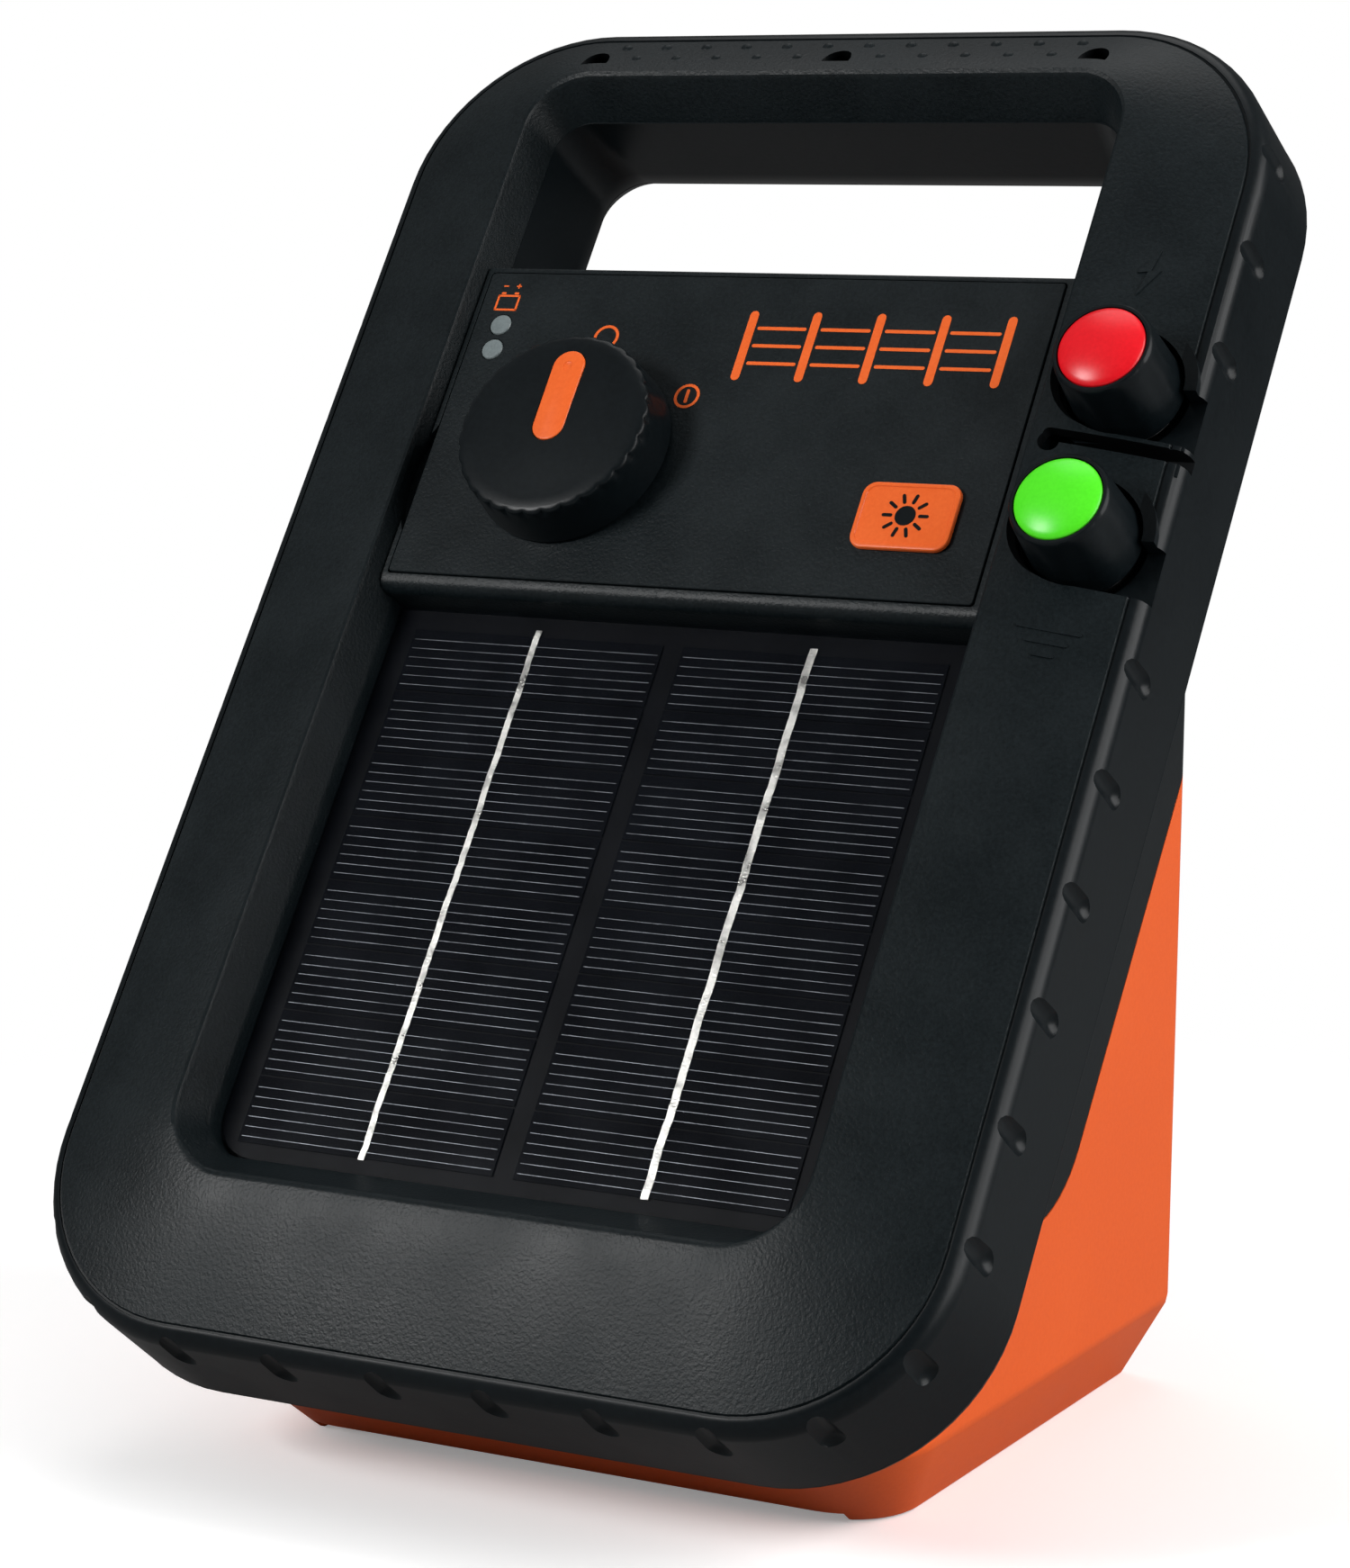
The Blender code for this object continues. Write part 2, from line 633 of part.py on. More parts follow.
def solar_panel():
    low, high = SOLAR_RANGE_V
    sheet = rounded_outline(SOLAR_HALF_WIDTH, low, high, 8.8, 1.0)
    hole = rounded_outline(SOLAR_HALF_WIDTH - 6.0, low + 6.0, high - 6.0, 4.0, 1.0)
    cells_top = SOLAR_TOP_N - 1.0
    gasket = loft(
        [
            level(sheet, SOLAR_FLOOR_N + GAP),
            level(sheet, SOLAR_FLOOR_N + 0.9),
            level(hole, SOLAR_FLOOR_N + 0.9),
            level(hole, SOLAR_FLOOR_N + GAP),
        ],
        closed=True,
    )
    add_object("panel_gasket", gasket, RUBBER, FACE)
    add_object("solar_backsheet", slab(sheet, SOLAR_FLOOR_N + 1.2, cells_top - 0.5), SHEET_BLACK, FACE)
    for side, (left, right), ribbon in zip(("left", "right"), CELL_COLUMNS, RIBBON_U):
        column = box((left, CELL_RANGE_V[0], cells_top - 0.4), (right, CELL_RANGE_V[1], cells_top - 0.15))
        add_object(f"cell_column_{side}", column, CELL_BLACK, FACE)
        half = RIBBON_WIDTH / 2
        low_end = (ribbon - half, CELL_RANGE_V[0] - 0.6, cells_top - 0.12)
        high_end = (ribbon + half, CELL_RANGE_V[1] + 0.8, cells_top)
        add_object(f"ribbon_{side}", box(low_end, high_end), TIN, FACE)
    add_object("solar_cover", slab(sheet, cells_top + 0.05, SOLAR_TOP_N), CLEAR, FACE)


def rotary_knob():
    u, v = KNOB_CENTRE
    profile = [
        (0.0, KNOB_TOP_N),
        (10.0, KNOB_TOP_N - 0.2),
        (18.6, KNOB_TOP_N - 0.6),
        (KNOB_RADIUS - 0.8, KNOB_TOP_N - 1.0),
        (KNOB_RADIUS - 0.4, KNOB_TOP_N - 1.8),
        (KNOB_RADIUS, 0.5),
        (KNOB_RADIUS - 0.6, 0.1),
        (KNOB_RADIUS - 3.0, 0.1),
        (KNOB_RADIUS - 3.2, KNOB_TOP_N - 3.7),
        (6.0, KNOB_TOP_N - 3.7),
        (6.0, 0.1),
        (STUD_RADIUS + GAP, 0.1),
        (STUD_RADIUS + GAP, 7.0),
        (0.0, 7.0),
    ]
    knob = turned("rotary_knob", profile, BLACK, FACE, (u, v, 0.0), 36)
    low, high = POINTER_RANGE
    around = POINTER_HALF + GAP
    slot = rounded_outline(around, low - GAP, high + GAP, around, around, 6)
    bottom = KNOB_TOP_N - 2.2
    pocket = slab(slot, bottom, KNOB_TOP_N + 2.0)
    cut(knob, add_object("pointer_pocket", pocket, None, FACE, (u, v, 0.0), CUTTERS))
    mark = rounded_outline(POINTER_HALF, low, high, POINTER_HALF, POINTER_HALF, 6)
    add_object("knob_pointer", slab(mark, bottom + GAP, KNOB_TOP_N + 0.2), ACCENT, FACE, (u, v, 0.0))
    shaft = [(0.0, 6.6), (STUD_RADIUS, 6.6), (STUD_RADIUS, -9.0), (0.0, -9.0)]
    turned("switch_shaft", shaft, STEEL, FACE, (u, v, 0.0), 16)
    body = [
        (STUD_RADIUS + GAP, -1.0),
        (4.4, -1.0),
        (4.4, -7.5),
        (9.0, -7.5),
        (9.0, -23.7),
        (0.0, -23.7),
        (0.0, -9.4),
        (STUD_RADIUS + GAP, -9.4),
        (STUD_RADIUS + GAP, -1.0),
    ]
    turned("rotary_switch", body, CORE_GREY, FACE, (u, v, 0.0), 20)


def led_lenses():
    profile = [
        (0.0, FASCIA_TOP_N + 0.3),
        (LED_RADIUS - 0.4, FASCIA_TOP_N + 0.3),
        (LED_RADIUS, FASCIA_TOP_N),
        (LED_RADIUS, -2.5),
        (1.5, -2.5),
        (1.5, -23.5),
        (0.0, -23.5),
    ]
    for name, v in zip(("led_lens_upper", "led_lens_lower"), LED_V):
        turned(name, profile, LENS_GREY, FACE, (LED_U, v, 0.0), 16)


def fence_terminal(name, centre, cap_material):
    u, v = centre
    floor = TERMINAL_FLOOR_N
    hole = STUD_RADIUS + GAP
    stud = [
        (0.0, 6.5),
        (STUD_RADIUS - 0.6, 6.5),
        (STUD_RADIUS, 5.9),
        (STUD_RADIUS, -12.8),
        (5.5, -12.8),
        (5.5, -16.0),
        (0.0, -16.0),
    ]
    turned(f"{name}_stud", stud, STEEL, FACE, (u, v, 0.0), 20)
    top, under = floor + 1.2, floor + GAP
    plate = [(8.6, top), (8.6, under), (hole, under), (hole, top), (8.6, top)]
    turned(f"{name}_contact_plate", plate, STEEL, FACE, (u, v, 0.0))
    washer = [(7.6, -7.1), (7.6, -8.3), (hole, -8.3), (hole, -7.1), (7.6, -7.1)]
    turned(f"{name}_clamp_washer", washer, STEEL, FACE, (u, v, 0.0))
    knob = [
        (8.9, 9.0),
        (8.9, 10.9),
        (9.3, 10.9),
        (9.8, 10.3),
        (10.7, -5.6),
        (10.4, -6.8),
        (hole, -6.8),
        (hole, 7.0),
        (0.0, 7.0),
    ]
    turned(f"{name}_knob", [(0.0, 9.0), *knob], BLACK, FACE, (u, v, 0.0), 32)
    cap = [(0.0, 12.6), (4.0, 12.35), (7.0, 11.6), (8.5, 10.9), (8.6, 10.5), (8.6, 9.3), (0.0, 9.3)]
    turned(f"{name}_knob_cap", cap, cap_material, FACE, (u, v, 0.0), 32)


def electronics():
    low, high = BOARD_N
    board = add_object("circuit_board", box((-53.0, 204.0, low), (50.0, 266.0, high)), BOARD_GREEN, FACE)
    for i, (u, v) in enumerate(BOARD_SCREWS):
        cut(board, face_cutter(f"board_screw_hole_{i}", cylinder(u, v, -30.0, -20.0, SCREW_HOLE, sides=12)))
    core = add_object("transformer_core", box((2.0, 207.0, -50.0), (34.0, 239.0, low - GAP)), CORE_GREY, FACE)
    cut(core, face_cutter("winding_window", box((-2.0, 213.0, -46.0), (38.0, 233.0, low - 4.0))))
    winding = box((4.5, 213.3, -45.7), (31.5, 232.7, low - 4.3))
    add_object("transformer_winding", winding, COPPER, FACE)
    can = along_y(0.0, 0.0, -18.0, 18.0, 11.0, 24)
    bmesh.ops.rotate(can, cent=(0, 0, 0), matrix=Matrix.Rotation(math.pi / 2, 3, "Z"), verts=can.verts)
    add_object("storage_capacitor", can, CAN_BLUE, FACE, (-26.0, 220.0, low - GAP - 11.0))


def battery():
    width, depth, height = BATTERY_SIZE
    top = BATTERY_FLOOR_Z + height
    front = BATTERY_BACK_Y - depth
    case = box((-width / 2, front, BATTERY_FLOOR_Z), (width / 2, BATTERY_BACK_Y, top))
    bmesh.ops.bevel(case, geom=list(case.edges), offset=1.5, segments=2, affect="EDGES", profile=0.5)
    add_object("battery", case, CASE_GREY, GROUND)
    for name, x in (("battery_tab_negative", -25.0), ("battery_tab_positive", 25.0)):
        tab = box((x - 3.1, front + 9.0, top + GAP), (x + 3.1, front + 9.8, top + 7.0))
        add_object(name, tab, TIN, GROUND)
    pad = box((-30.0, front - 4.3, 8.0), (30.0, front - GAP, 38.0))
    add_object("battery_foam_pad", pad, FOAM, GROUND)


def screw(name, parent, at, head_radius, head_height, length, turn=None):
    """A pan-head screw whose head's underside is at its origin, shank pointing down its z axis."""
    profile = [
        (0.0, head_height),
        (head_radius * 0.7, head_height),
        (head_radius, head_height * 0.5),
        (head_radius, 0.0),
        (SCREW_SHANK, 0.0),
        (SCREW_SHANK, -length + 1.5),
        (0.0, -length),
    ]
    obj = turned(name, profile, STEEL, parent, at, 8)
    if turn is not None:
        obj.rotation_euler = turn
    return obj


def fasteners():
    flip = (math.pi, 0.0, 0.0)
    for i, (u, v) in enumerate(HANDLE_SCREWS, 1):
        screw(f"handle_screw_{i}", FACE, (u, v, -14.0 + GAP), 2.4, 2.2, 17.0)
    for i, (u, v) in enumerate(CASE_SCREWS, 1):
        screw(f"case_screw_{i}", FACE, (u, v, -33.0 - GAP), 3.0, 2.2, 21.0, flip)
    for i, (u, v) in enumerate(BOARD_SCREWS, 1):
        screw(f"board_screw_{i}", FACE, (u, v, BOARD_N[0] - GAP), 2.6, 1.8, 11.0, flip)
    for i, x in enumerate((-BASE_SCREW_X, BASE_SCREW_X), 1):
        place = (x, 188.4 + GAP, BASE_SCREW_Z)
        screw(f"base_screw_{i}", GROUND, place, 3.0, 2.0, 12.0, (-math.pi / 2, 0.0, 0.0))


def case_seal():
    loops = [
        level(frame_outline(4.6), -31.8),
        level(frame_outline(4.6), -27.5),
        level(frame_outline(6.2), -27.5),
        level(frame_outline(6.2), -31.8),
    ]
    add_object("case_seal", loft(loops, closed=True), RUBBER, FACE)


def leads():
    board = BOARD_N[0] - 1.4
    u, v = TERMINALS["live"]
    live = [(u, v, -17.5), (u - 4, v - 4, -21), (62, 240, -30), (46, 236, -36), (36, 232, -36)]
    wire("live_lead", live, 1.2, LIVE_RED, FACE)
    u, v = TERMINALS["earth"]
    earth = [(u, v, -17.5), (u - 5, v - 2, -21), (64, 214, -28), (54, 212, -29), (44, 216, board)]
    wire("earth_lead", earth, 1.2, EARTH_GREEN, FACE)
    solar = [(0, 190, -13.5), (0, 191, -17), (-8, 196, -24), (-12, 202, -27.5), (-10, 208, board)]
    wire("solar_lead", solar, 1.0, RUBBER, FACE)


def main():
    front_bezel()
    rear_shell()
    base_housing()
    control_fascia()
    badge_plate()
    solar_panel()
    rotary_knob()
    led_lenses()
    fence_terminal("live", TERMINALS["live"], LIVE_RED)
    fence_terminal("earth", TERMINALS["earth"], EARTH_GREEN)
    electronics()
    battery()
    fasteners()
    case_seal()
    leads()


main()
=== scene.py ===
"""Looks of the solar fence energizer: fine shells, printed marks, materials, lights and camera.

Front pieces are drawn in the face frame in millimetres: u right, v up the face, n outwards.
"""

import json
import math

import bmesh
import bpy
from mathutils import Matrix, Vector, noise


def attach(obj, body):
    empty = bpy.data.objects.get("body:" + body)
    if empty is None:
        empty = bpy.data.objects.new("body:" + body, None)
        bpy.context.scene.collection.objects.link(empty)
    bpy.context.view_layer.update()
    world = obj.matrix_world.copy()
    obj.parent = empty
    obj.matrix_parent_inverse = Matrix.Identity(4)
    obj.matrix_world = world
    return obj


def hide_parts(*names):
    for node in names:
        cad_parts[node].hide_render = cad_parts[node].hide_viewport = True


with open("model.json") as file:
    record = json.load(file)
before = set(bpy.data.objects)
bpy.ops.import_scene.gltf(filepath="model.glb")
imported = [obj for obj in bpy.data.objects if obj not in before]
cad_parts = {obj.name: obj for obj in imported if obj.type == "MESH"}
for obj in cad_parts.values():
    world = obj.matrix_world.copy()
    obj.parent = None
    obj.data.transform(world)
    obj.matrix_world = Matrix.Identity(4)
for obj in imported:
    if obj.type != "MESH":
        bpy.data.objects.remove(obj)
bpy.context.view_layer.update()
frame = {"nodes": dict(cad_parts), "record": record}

LEAN = math.radians(35.7)  # the face leans back by this much from upright
SHIFT_Y = 124.0  # brings the middle of the whole over the origin
GROUND = Matrix.Scale(0.001, 4) @ Matrix.Translation((0.0, -SHIFT_Y, 0.0))
FACE = GROUND @ Matrix.Rotation(math.pi / 2 - LEAN, 4, "X")

# Frame; a lone depth is n in the face frame
HALF_WIDTH = 95.0
LOW = 42.0
HIGH = 334.5
CORNER = 38.0
PARTING = -29.0
BACK = -36.0
WINDOW = (66.3, 73.3, 318.0)  # half width, low, high
WINDOW_WALL_END = -13.6
OPENING = (63.4, 273.4, 312.4)  # the hand opening, in the same terms
OPENING_FRONT = -6.2
TAPER = 2.4  # the hand opening's sides close in by this much towards the parting plane
GRIP_ROUND = 12.0  # radius of the round on the back of the handle's underside
GRIP_START = -24.0
CROWN_EDGE = 3.6  # the border's slope starts this far in from the frame's edge
CROWN_LOW = -3.6
CROWN_HIGH = 3.0
CROWN_BULGE = 1.1
PANEL_LOW = 198.4
HANDLE_SCREWS = ((-55.8, 323.4), (0.0, 323.4), (55.8, 323.4))
CASE_SCREWS = ((-84.0, 92.0), (84.0, 92.0), (-84.0, 286.0), (84.0, 286.0))

# Notches round the frame's edge
NOTCH_PITCH = 22.4
NOTCH_FIRST_V = 82.0
NOTCH_RADIUS = 3.1
NOTCH_END = -12.7
NOTCH_REACH = 1.75  # the rod that cuts a notch has its axis this far outside the edge
EDGE_DRAFT = 0.2  # the edge stands out by this much where the notches are

# Panel
KNOB = (-30.3, 230.5)
LEDS = ((-57.2, 259.3), (-57.2, 253.5))
BADGE = (45.2, 219.2)
FASCIA_TOP = -0.4
TERMINALS = {"live": (79.8, 250.8), "earth": (79.8, 218.6)}
SLOT_V = 237.1

# Solar cells
CELL_TOP = -8.4
CELL_LOW_V = 83.6
STRIP_PITCH = 13.8
STRIP_HEIGHT = 13.4
STRIPS = 8
FINGERS = 6
FINGER_PITCH = 2.0

# Body, in millimetres above and behind the ground line below the face; SPLIT is in the face frame
BODY_BACK = 191.0
BODY_LEVELS = (  # height, half width, front Y, front corner radius
    (0.0, 65.0, 80.4, 13.2),
    (17.0, 75.0, 60.0, 21.0),
    (205.0, 77.7, 60.0, 21.0),
)
BASE_LEVELS = (  # the base's outside, with its turns at the ground and above the chamfer softened
    (0.0, 64.5, 81.0, 12.8),
    (0.5, 65.3, 79.8, 13.4),
    (16.2, 74.55, 60.8, 20.6),
    (18.2, 75.02, 60.0, 21.0),
    BODY_LEVELS[-1],
)
BASE_FLOOR = 4.6
CHANNEL_HALF_WIDTH = 57.5  # the base stands on a rail at each side of this channel
CHANNEL_DEPTH = 2.2
SPLIT_N = -80.5  # where the rear shell's box and the base meet
SPLIT_LOW_V = 104.0
SPLIT_CORNER = 26.0
LEDGE_Z = 193.0
BASE_SCREW_X = 62.0
BASE_SCREW_Z = 114.5
WALL = 2.5
GAP = 0.3
FINE = 16  # segments in a large rounded corner

# The third index is a darker, duller black: painted shade for deep holes, slots and hollows.
TEXTURED, SATIN, PAINTED_SHADE = 0, 1, 2  # material indices on the black shells


# ---------------------------------------------------------------- mesh tools


def rounded(half, low, high, low_r, high_r, steps=FINE):
    corners = (
        (half - high_r, high - high_r, high_r, 0),
        (-half + high_r, high - high_r, high_r, 90),
        (-half + low_r, low + low_r, low_r, 180),
        (half - low_r, low + low_r, low_r, 270),
    )
    points = []
    for x, y, radius, start in corners:
        for step in range(steps + 1):
            angle = math.radians(start + 90 * step / steps)
            points.append((x + radius * math.cos(angle), y + radius * math.sin(angle)))
    return points


def level(outline, height):
    return [(x, y, height) for x, y in outline]


def loft(loops, closed=False, indices=None):
    """Skins loops of points; indices gives a material index to each band between two loops."""
    bm = bmesh.new()
    rings = [[bm.verts.new(point) for point in loop] for loop in loops]
    pairs = list(zip(rings, rings[1:]))
    if closed:
        pairs.append((rings[-1], rings[0]))
    for band, (lower, upper) in enumerate(pairs):
        for i, vertex in enumerate(lower):
            j = (i + 1) % len(lower)
            face = bm.faces.new((vertex, lower[j], upper[j], upper[i]))
            face.material_index = indices[band] if indices else 0
    if not closed:
        bm.faces.new(rings[0])
        bm.faces.new(rings[-1])
    bmesh.ops.recalc_face_normals(bm, faces=bm.faces)
    return bm


def painted(bm, index):
    for face in bm.faces:
        face.material_index = index
    return bm


def slab(outline, low, high):
    return loft([level(outline, low), level(outline, high)])


def prism(profile, half):
    return loft([[(x, a, b) for a, b in profile] for x in (-half, half)])


def box(low, high):
    bm = bmesh.new()
    size = [b - a for a, b in zip(low, high)]
    middle = [(a + b) / 2 for a, b in zip(low, high)]
    place = Matrix.Translation(middle) @ Matrix.Diagonal((*size, 1))
    bmesh.ops.create_cube(bm, size=1.0, matrix=place)
    return bm


def circle(x, y, radius, sides):
    turn = math.tau / sides
    return [(x + radius * math.cos(i * turn), y + radius * math.sin(i * turn)) for i in range(sides)]


def stack(x, y, rings, sides=40):
    """A turned shape about an axis along z: rings of (radius, height), bottom to top."""
    return loft([level(circle(x, y, radius, sides), height) for radius, height in rings])


def along_y(x, z, low, high, radius, sides=20):
    bm = stack(0.0, 0.0, ((radius, low), (radius, high)), sides)
    turn = Matrix.Translation((x, 0.0, z)) @ Matrix.Rotation(-math.pi / 2, 4, "X")
    bmesh.ops.transform(bm, matrix=turn, verts=bm.verts)
    return bm


def merged(*shapes):
    """Several meshes as one."""
    whole = bmesh.new()
    for shape in shapes:
        mesh = bpy.data.meshes.new("part")
        shape.to_mesh(mesh)
        shape.free()
        whole.from_mesh(mesh)
        bpy.data.meshes.remove(mesh)
    return whole


def temporary(bm):
    mesh = bpy.data.meshes.new("temporary")
    bm.to_mesh(mesh)
    bm.free()
    for _ in (TEXTURED, SATIN, PAINTED_SHADE):
        mesh.materials.append(None)
    obj = bpy.data.objects.new("temporary", mesh)
    bpy.context.scene.collection.objects.link(obj)
    return obj


def shaped(bm, *steps):
    """bm after Boolean steps of (operation, other mesh); the others' material indices are kept."""
    main = temporary(bm)
    helpers = []
    for operation, other in steps:
        helper = temporary(other)
        modifier = main.modifiers.new("step", "BOOLEAN")
        modifier.operation = operation
        modifier.object = helper
        helpers.append(helper)
    graph = bpy.context.evaluated_depsgraph_get()
    made = bpy.data.meshes.new_from_object(main.evaluated_get(graph), depsgraph=graph)
    result = bmesh.new()
    result.from_mesh(made)
    bpy.data.meshes.remove(made)
    for obj in [main, *helpers]:
        mesh = obj.data
        bpy.data.objects.remove(obj)
        bpy.data.meshes.remove(mesh)
    bmesh.ops.dissolve_degenerate(result, dist=0.0005, edges=result.edges)
    return result


def cuts(*shapes):
    return [("DIFFERENCE", shape) for shape in shapes]


def joins(*shapes):
    return [("UNION", shape) for shape in shapes]


def piece(name, bm, materials, body="housing", nodes=(), sharp=30, weighted=False):
    """Finishes a mesh as a visible piece that rides on a CAD body."""
    bmesh.ops.transform(bm, matrix=FACE, verts=bm.verts)
    bmesh.ops.recalc_face_normals(bm, faces=bm.faces)
    mesh = bpy.data.meshes.new(name)
    bm.to_mesh(mesh)
    bm.free()
    mesh.shade_smooth()
    mesh.set_sharp_from_angle(angle=math.radians(sharp))
    for material in materials:
        mesh.materials.append(material)
    obj = bpy.data.objects.new(name, mesh)
    bpy.context.scene.collection.objects.link(obj)
    if weighted:
        modifier = obj.modifiers.new("normals", "WEIGHTED_NORMAL")
        modifier.keep_sharp = True
        modifier.weight = 90
    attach(obj, body)
    if nodes:
        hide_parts(*nodes)
    return obj


# ---------------------------------------------------------------- materials


def graph_of(name):
    material = bpy.data.materials.new(name)
    material.use_nodes = True
    tree = material.node_tree
    return material, tree, tree.nodes["Principled BSDF"]


def new_node(tree, kind, **settings):
    node = tree.nodes.new(kind)
    for key, value in settings.items():
        setattr(node, key, value)
    return node


def coordinates(tree):
    return new_node(tree, "ShaderNodeTexCoord").outputs["Object"]


def noise_node(tree, vector, scale, detail, roughness=0.5):
    node = tree.nodes.new("ShaderNodeTexNoise")
    node.inputs["Scale"].default_value = scale
    node.inputs["Detail"].default_value = detail
    node.inputs["Roughness"].default_value = roughness
    tree.links.new(vector, node.inputs["Vector"])
    return node.outputs["Fac"]


def ramp(tree, value, stops):
    node = tree.nodes.new("ShaderNodeValToRGB")
    elements = node.color_ramp.elements
    while len(elements) < len(stops):
        elements.new(0.5)
    for element, (position, colour) in zip(elements, stops):
        element.position = position
        element.color = (*colour, 1.0)
    tree.links.new(value, node.inputs["Fac"])
    return node.outputs["Color"]


def spread(tree, value, low, high, from_low=0.3, from_high=0.7):
    node = tree.nodes.new("ShaderNodeMapRange")
    node.inputs["From Min"].default_value = from_low
    node.inputs["From Max"].default_value = from_high
    node.inputs["To Min"].default_value = low
    node.inputs["To Max"].default_value = high
    tree.links.new(value, node.inputs["Value"])
    return node.outputs["Result"]


def bump(tree, height, distance):
    node = tree.nodes.new("ShaderNodeBump")
    node.inputs["Distance"].default_value = distance
    tree.links.new(height, node.inputs["Height"])
    return node.outputs["Normal"]


def plastic(name, dark, light, rough, grain, mottle=60.0, shine=0.5):
    """Moulded plastic: mottled colour, a fine grain, and patches of slightly different gloss.

    grain is its scale and depth, mottle is the patches' scale, and shine is the specular level.
    """
    material, tree, shader = graph_of(name)
    vector = coordinates(tree)
    grain_scale, grain_depth = grain
    grain_share = 0.6  # of the mottled colour; the patches make the rest
    fine = noise_node(tree, vector, grain_scale, 2.0, 0.6)
    patches = noise_node(tree, vector, mottle, 3.0)
    rest = new_node(tree, "ShaderNodeMath", operation="MULTIPLY")
    rest.inputs[1].default_value = 1.0 - grain_share
    tree.links.new(patches, rest.inputs[0])
    mix = new_node(tree, "ShaderNodeMath", operation="MULTIPLY_ADD")
    mix.inputs[1].default_value = grain_share
    tree.links.new(fine, mix.inputs[0])
    tree.links.new(rest.outputs[0], mix.inputs[2])
    colour = ramp(tree, mix.outputs[0], ((0.36, dark), (0.64, light)))
    tree.links.new(colour, shader.inputs["Base Color"])
    tree.links.new(spread(tree, patches, rough[0], rough[1]), shader.inputs["Roughness"])
    tree.links.new(bump(tree, fine, grain_depth), shader.inputs["Normal"])
    shader.inputs["Specular IOR Level"].default_value = shine
    return material


def metal(name, colour, rough, scale=900.0, depth=0.00002):
    """Plated or tinned metal with fine unevenness and stains."""
    material, tree, shader = graph_of(name)
    vector = coordinates(tree)
    fine = noise_node(tree, vector, scale, 3.0)
    stain = noise_node(tree, vector, scale / 9.0, 3.0)
    darker = tuple(c * 0.55 for c in colour)
    tree.links.new(ramp(tree, stain, ((0.35, darker), (0.55, colour))), shader.inputs["Base Color"])
    tree.links.new(spread(tree, stain, rough[0], rough[1]), shader.inputs["Roughness"])
    tree.links.new(bump(tree, fine, depth), shader.inputs["Normal"])
    shader.inputs["Metallic"].default_value = 1.0
    return material


def clear_cover():
    """Clear laminate: almost nothing but a faint sheen with fine smears."""
    material, tree, shader = graph_of("clear_laminate")
    smear = noise_node(tree, coordinates(tree), 90.0, 4.0)
    colour = ramp(tree, smear, ((0.4, (0.004, 0.006, 0.010)), (0.8, (0.02, 0.026, 0.036))))
    tree.links.new(colour, shader.inputs["Base Color"])
    tree.links.new(spread(tree, smear, 0.12, 0.2), shader.inputs["Roughness"])
    shader.inputs["Alpha"].default_value = 0.06
    return material


def cell_glass():
    """Dark silicon under laminate: blue-black, glossy, with faint clouding."""
    material, tree, shader = graph_of("cell_silicon")
    cloud = noise_node(tree, coordinates(tree), 60.0, 3.0)
    stops = ((0.35, (0.0008, 0.0014, 0.0030)), (0.7, (0.0016, 0.0026, 0.0050)))
    tree.links.new(ramp(tree, cloud, stops), shader.inputs["Base Color"])
    tree.links.new(spread(tree, cloud, 0.18, 0.26), shader.inputs["Roughness"])
    shader.inputs["Specular IOR Level"].default_value = 0.12
    return material


def windings():
    """Enamelled wire: turns side by side, with painted shade darkening the grooves between them."""
    material, tree, shader = graph_of("enamelled_wire")
    wave = tree.nodes.new("ShaderNodeTexWave")
    wave.inputs["Scale"].default_value = 700.0
    wave.inputs["Distortion"].default_value = 0.4
    tree.links.new(coordinates(tree), wave.inputs["Vector"])
    # Painted shade: the dark end of the ramp falls in the grooves between turns.
    stops = ((0.1, (0.25, 0.07, 0.02)), (0.7, (0.8, 0.34, 0.13)))
    tree.links.new(ramp(tree, wave.outputs["Fac"], stops), shader.inputs["Base Color"])
    tree.links.new(bump(tree, wave.outputs["Fac"], 0.0001), shader.inputs["Normal"])
    shader.inputs["Roughness"].default_value = 0.35
    return material


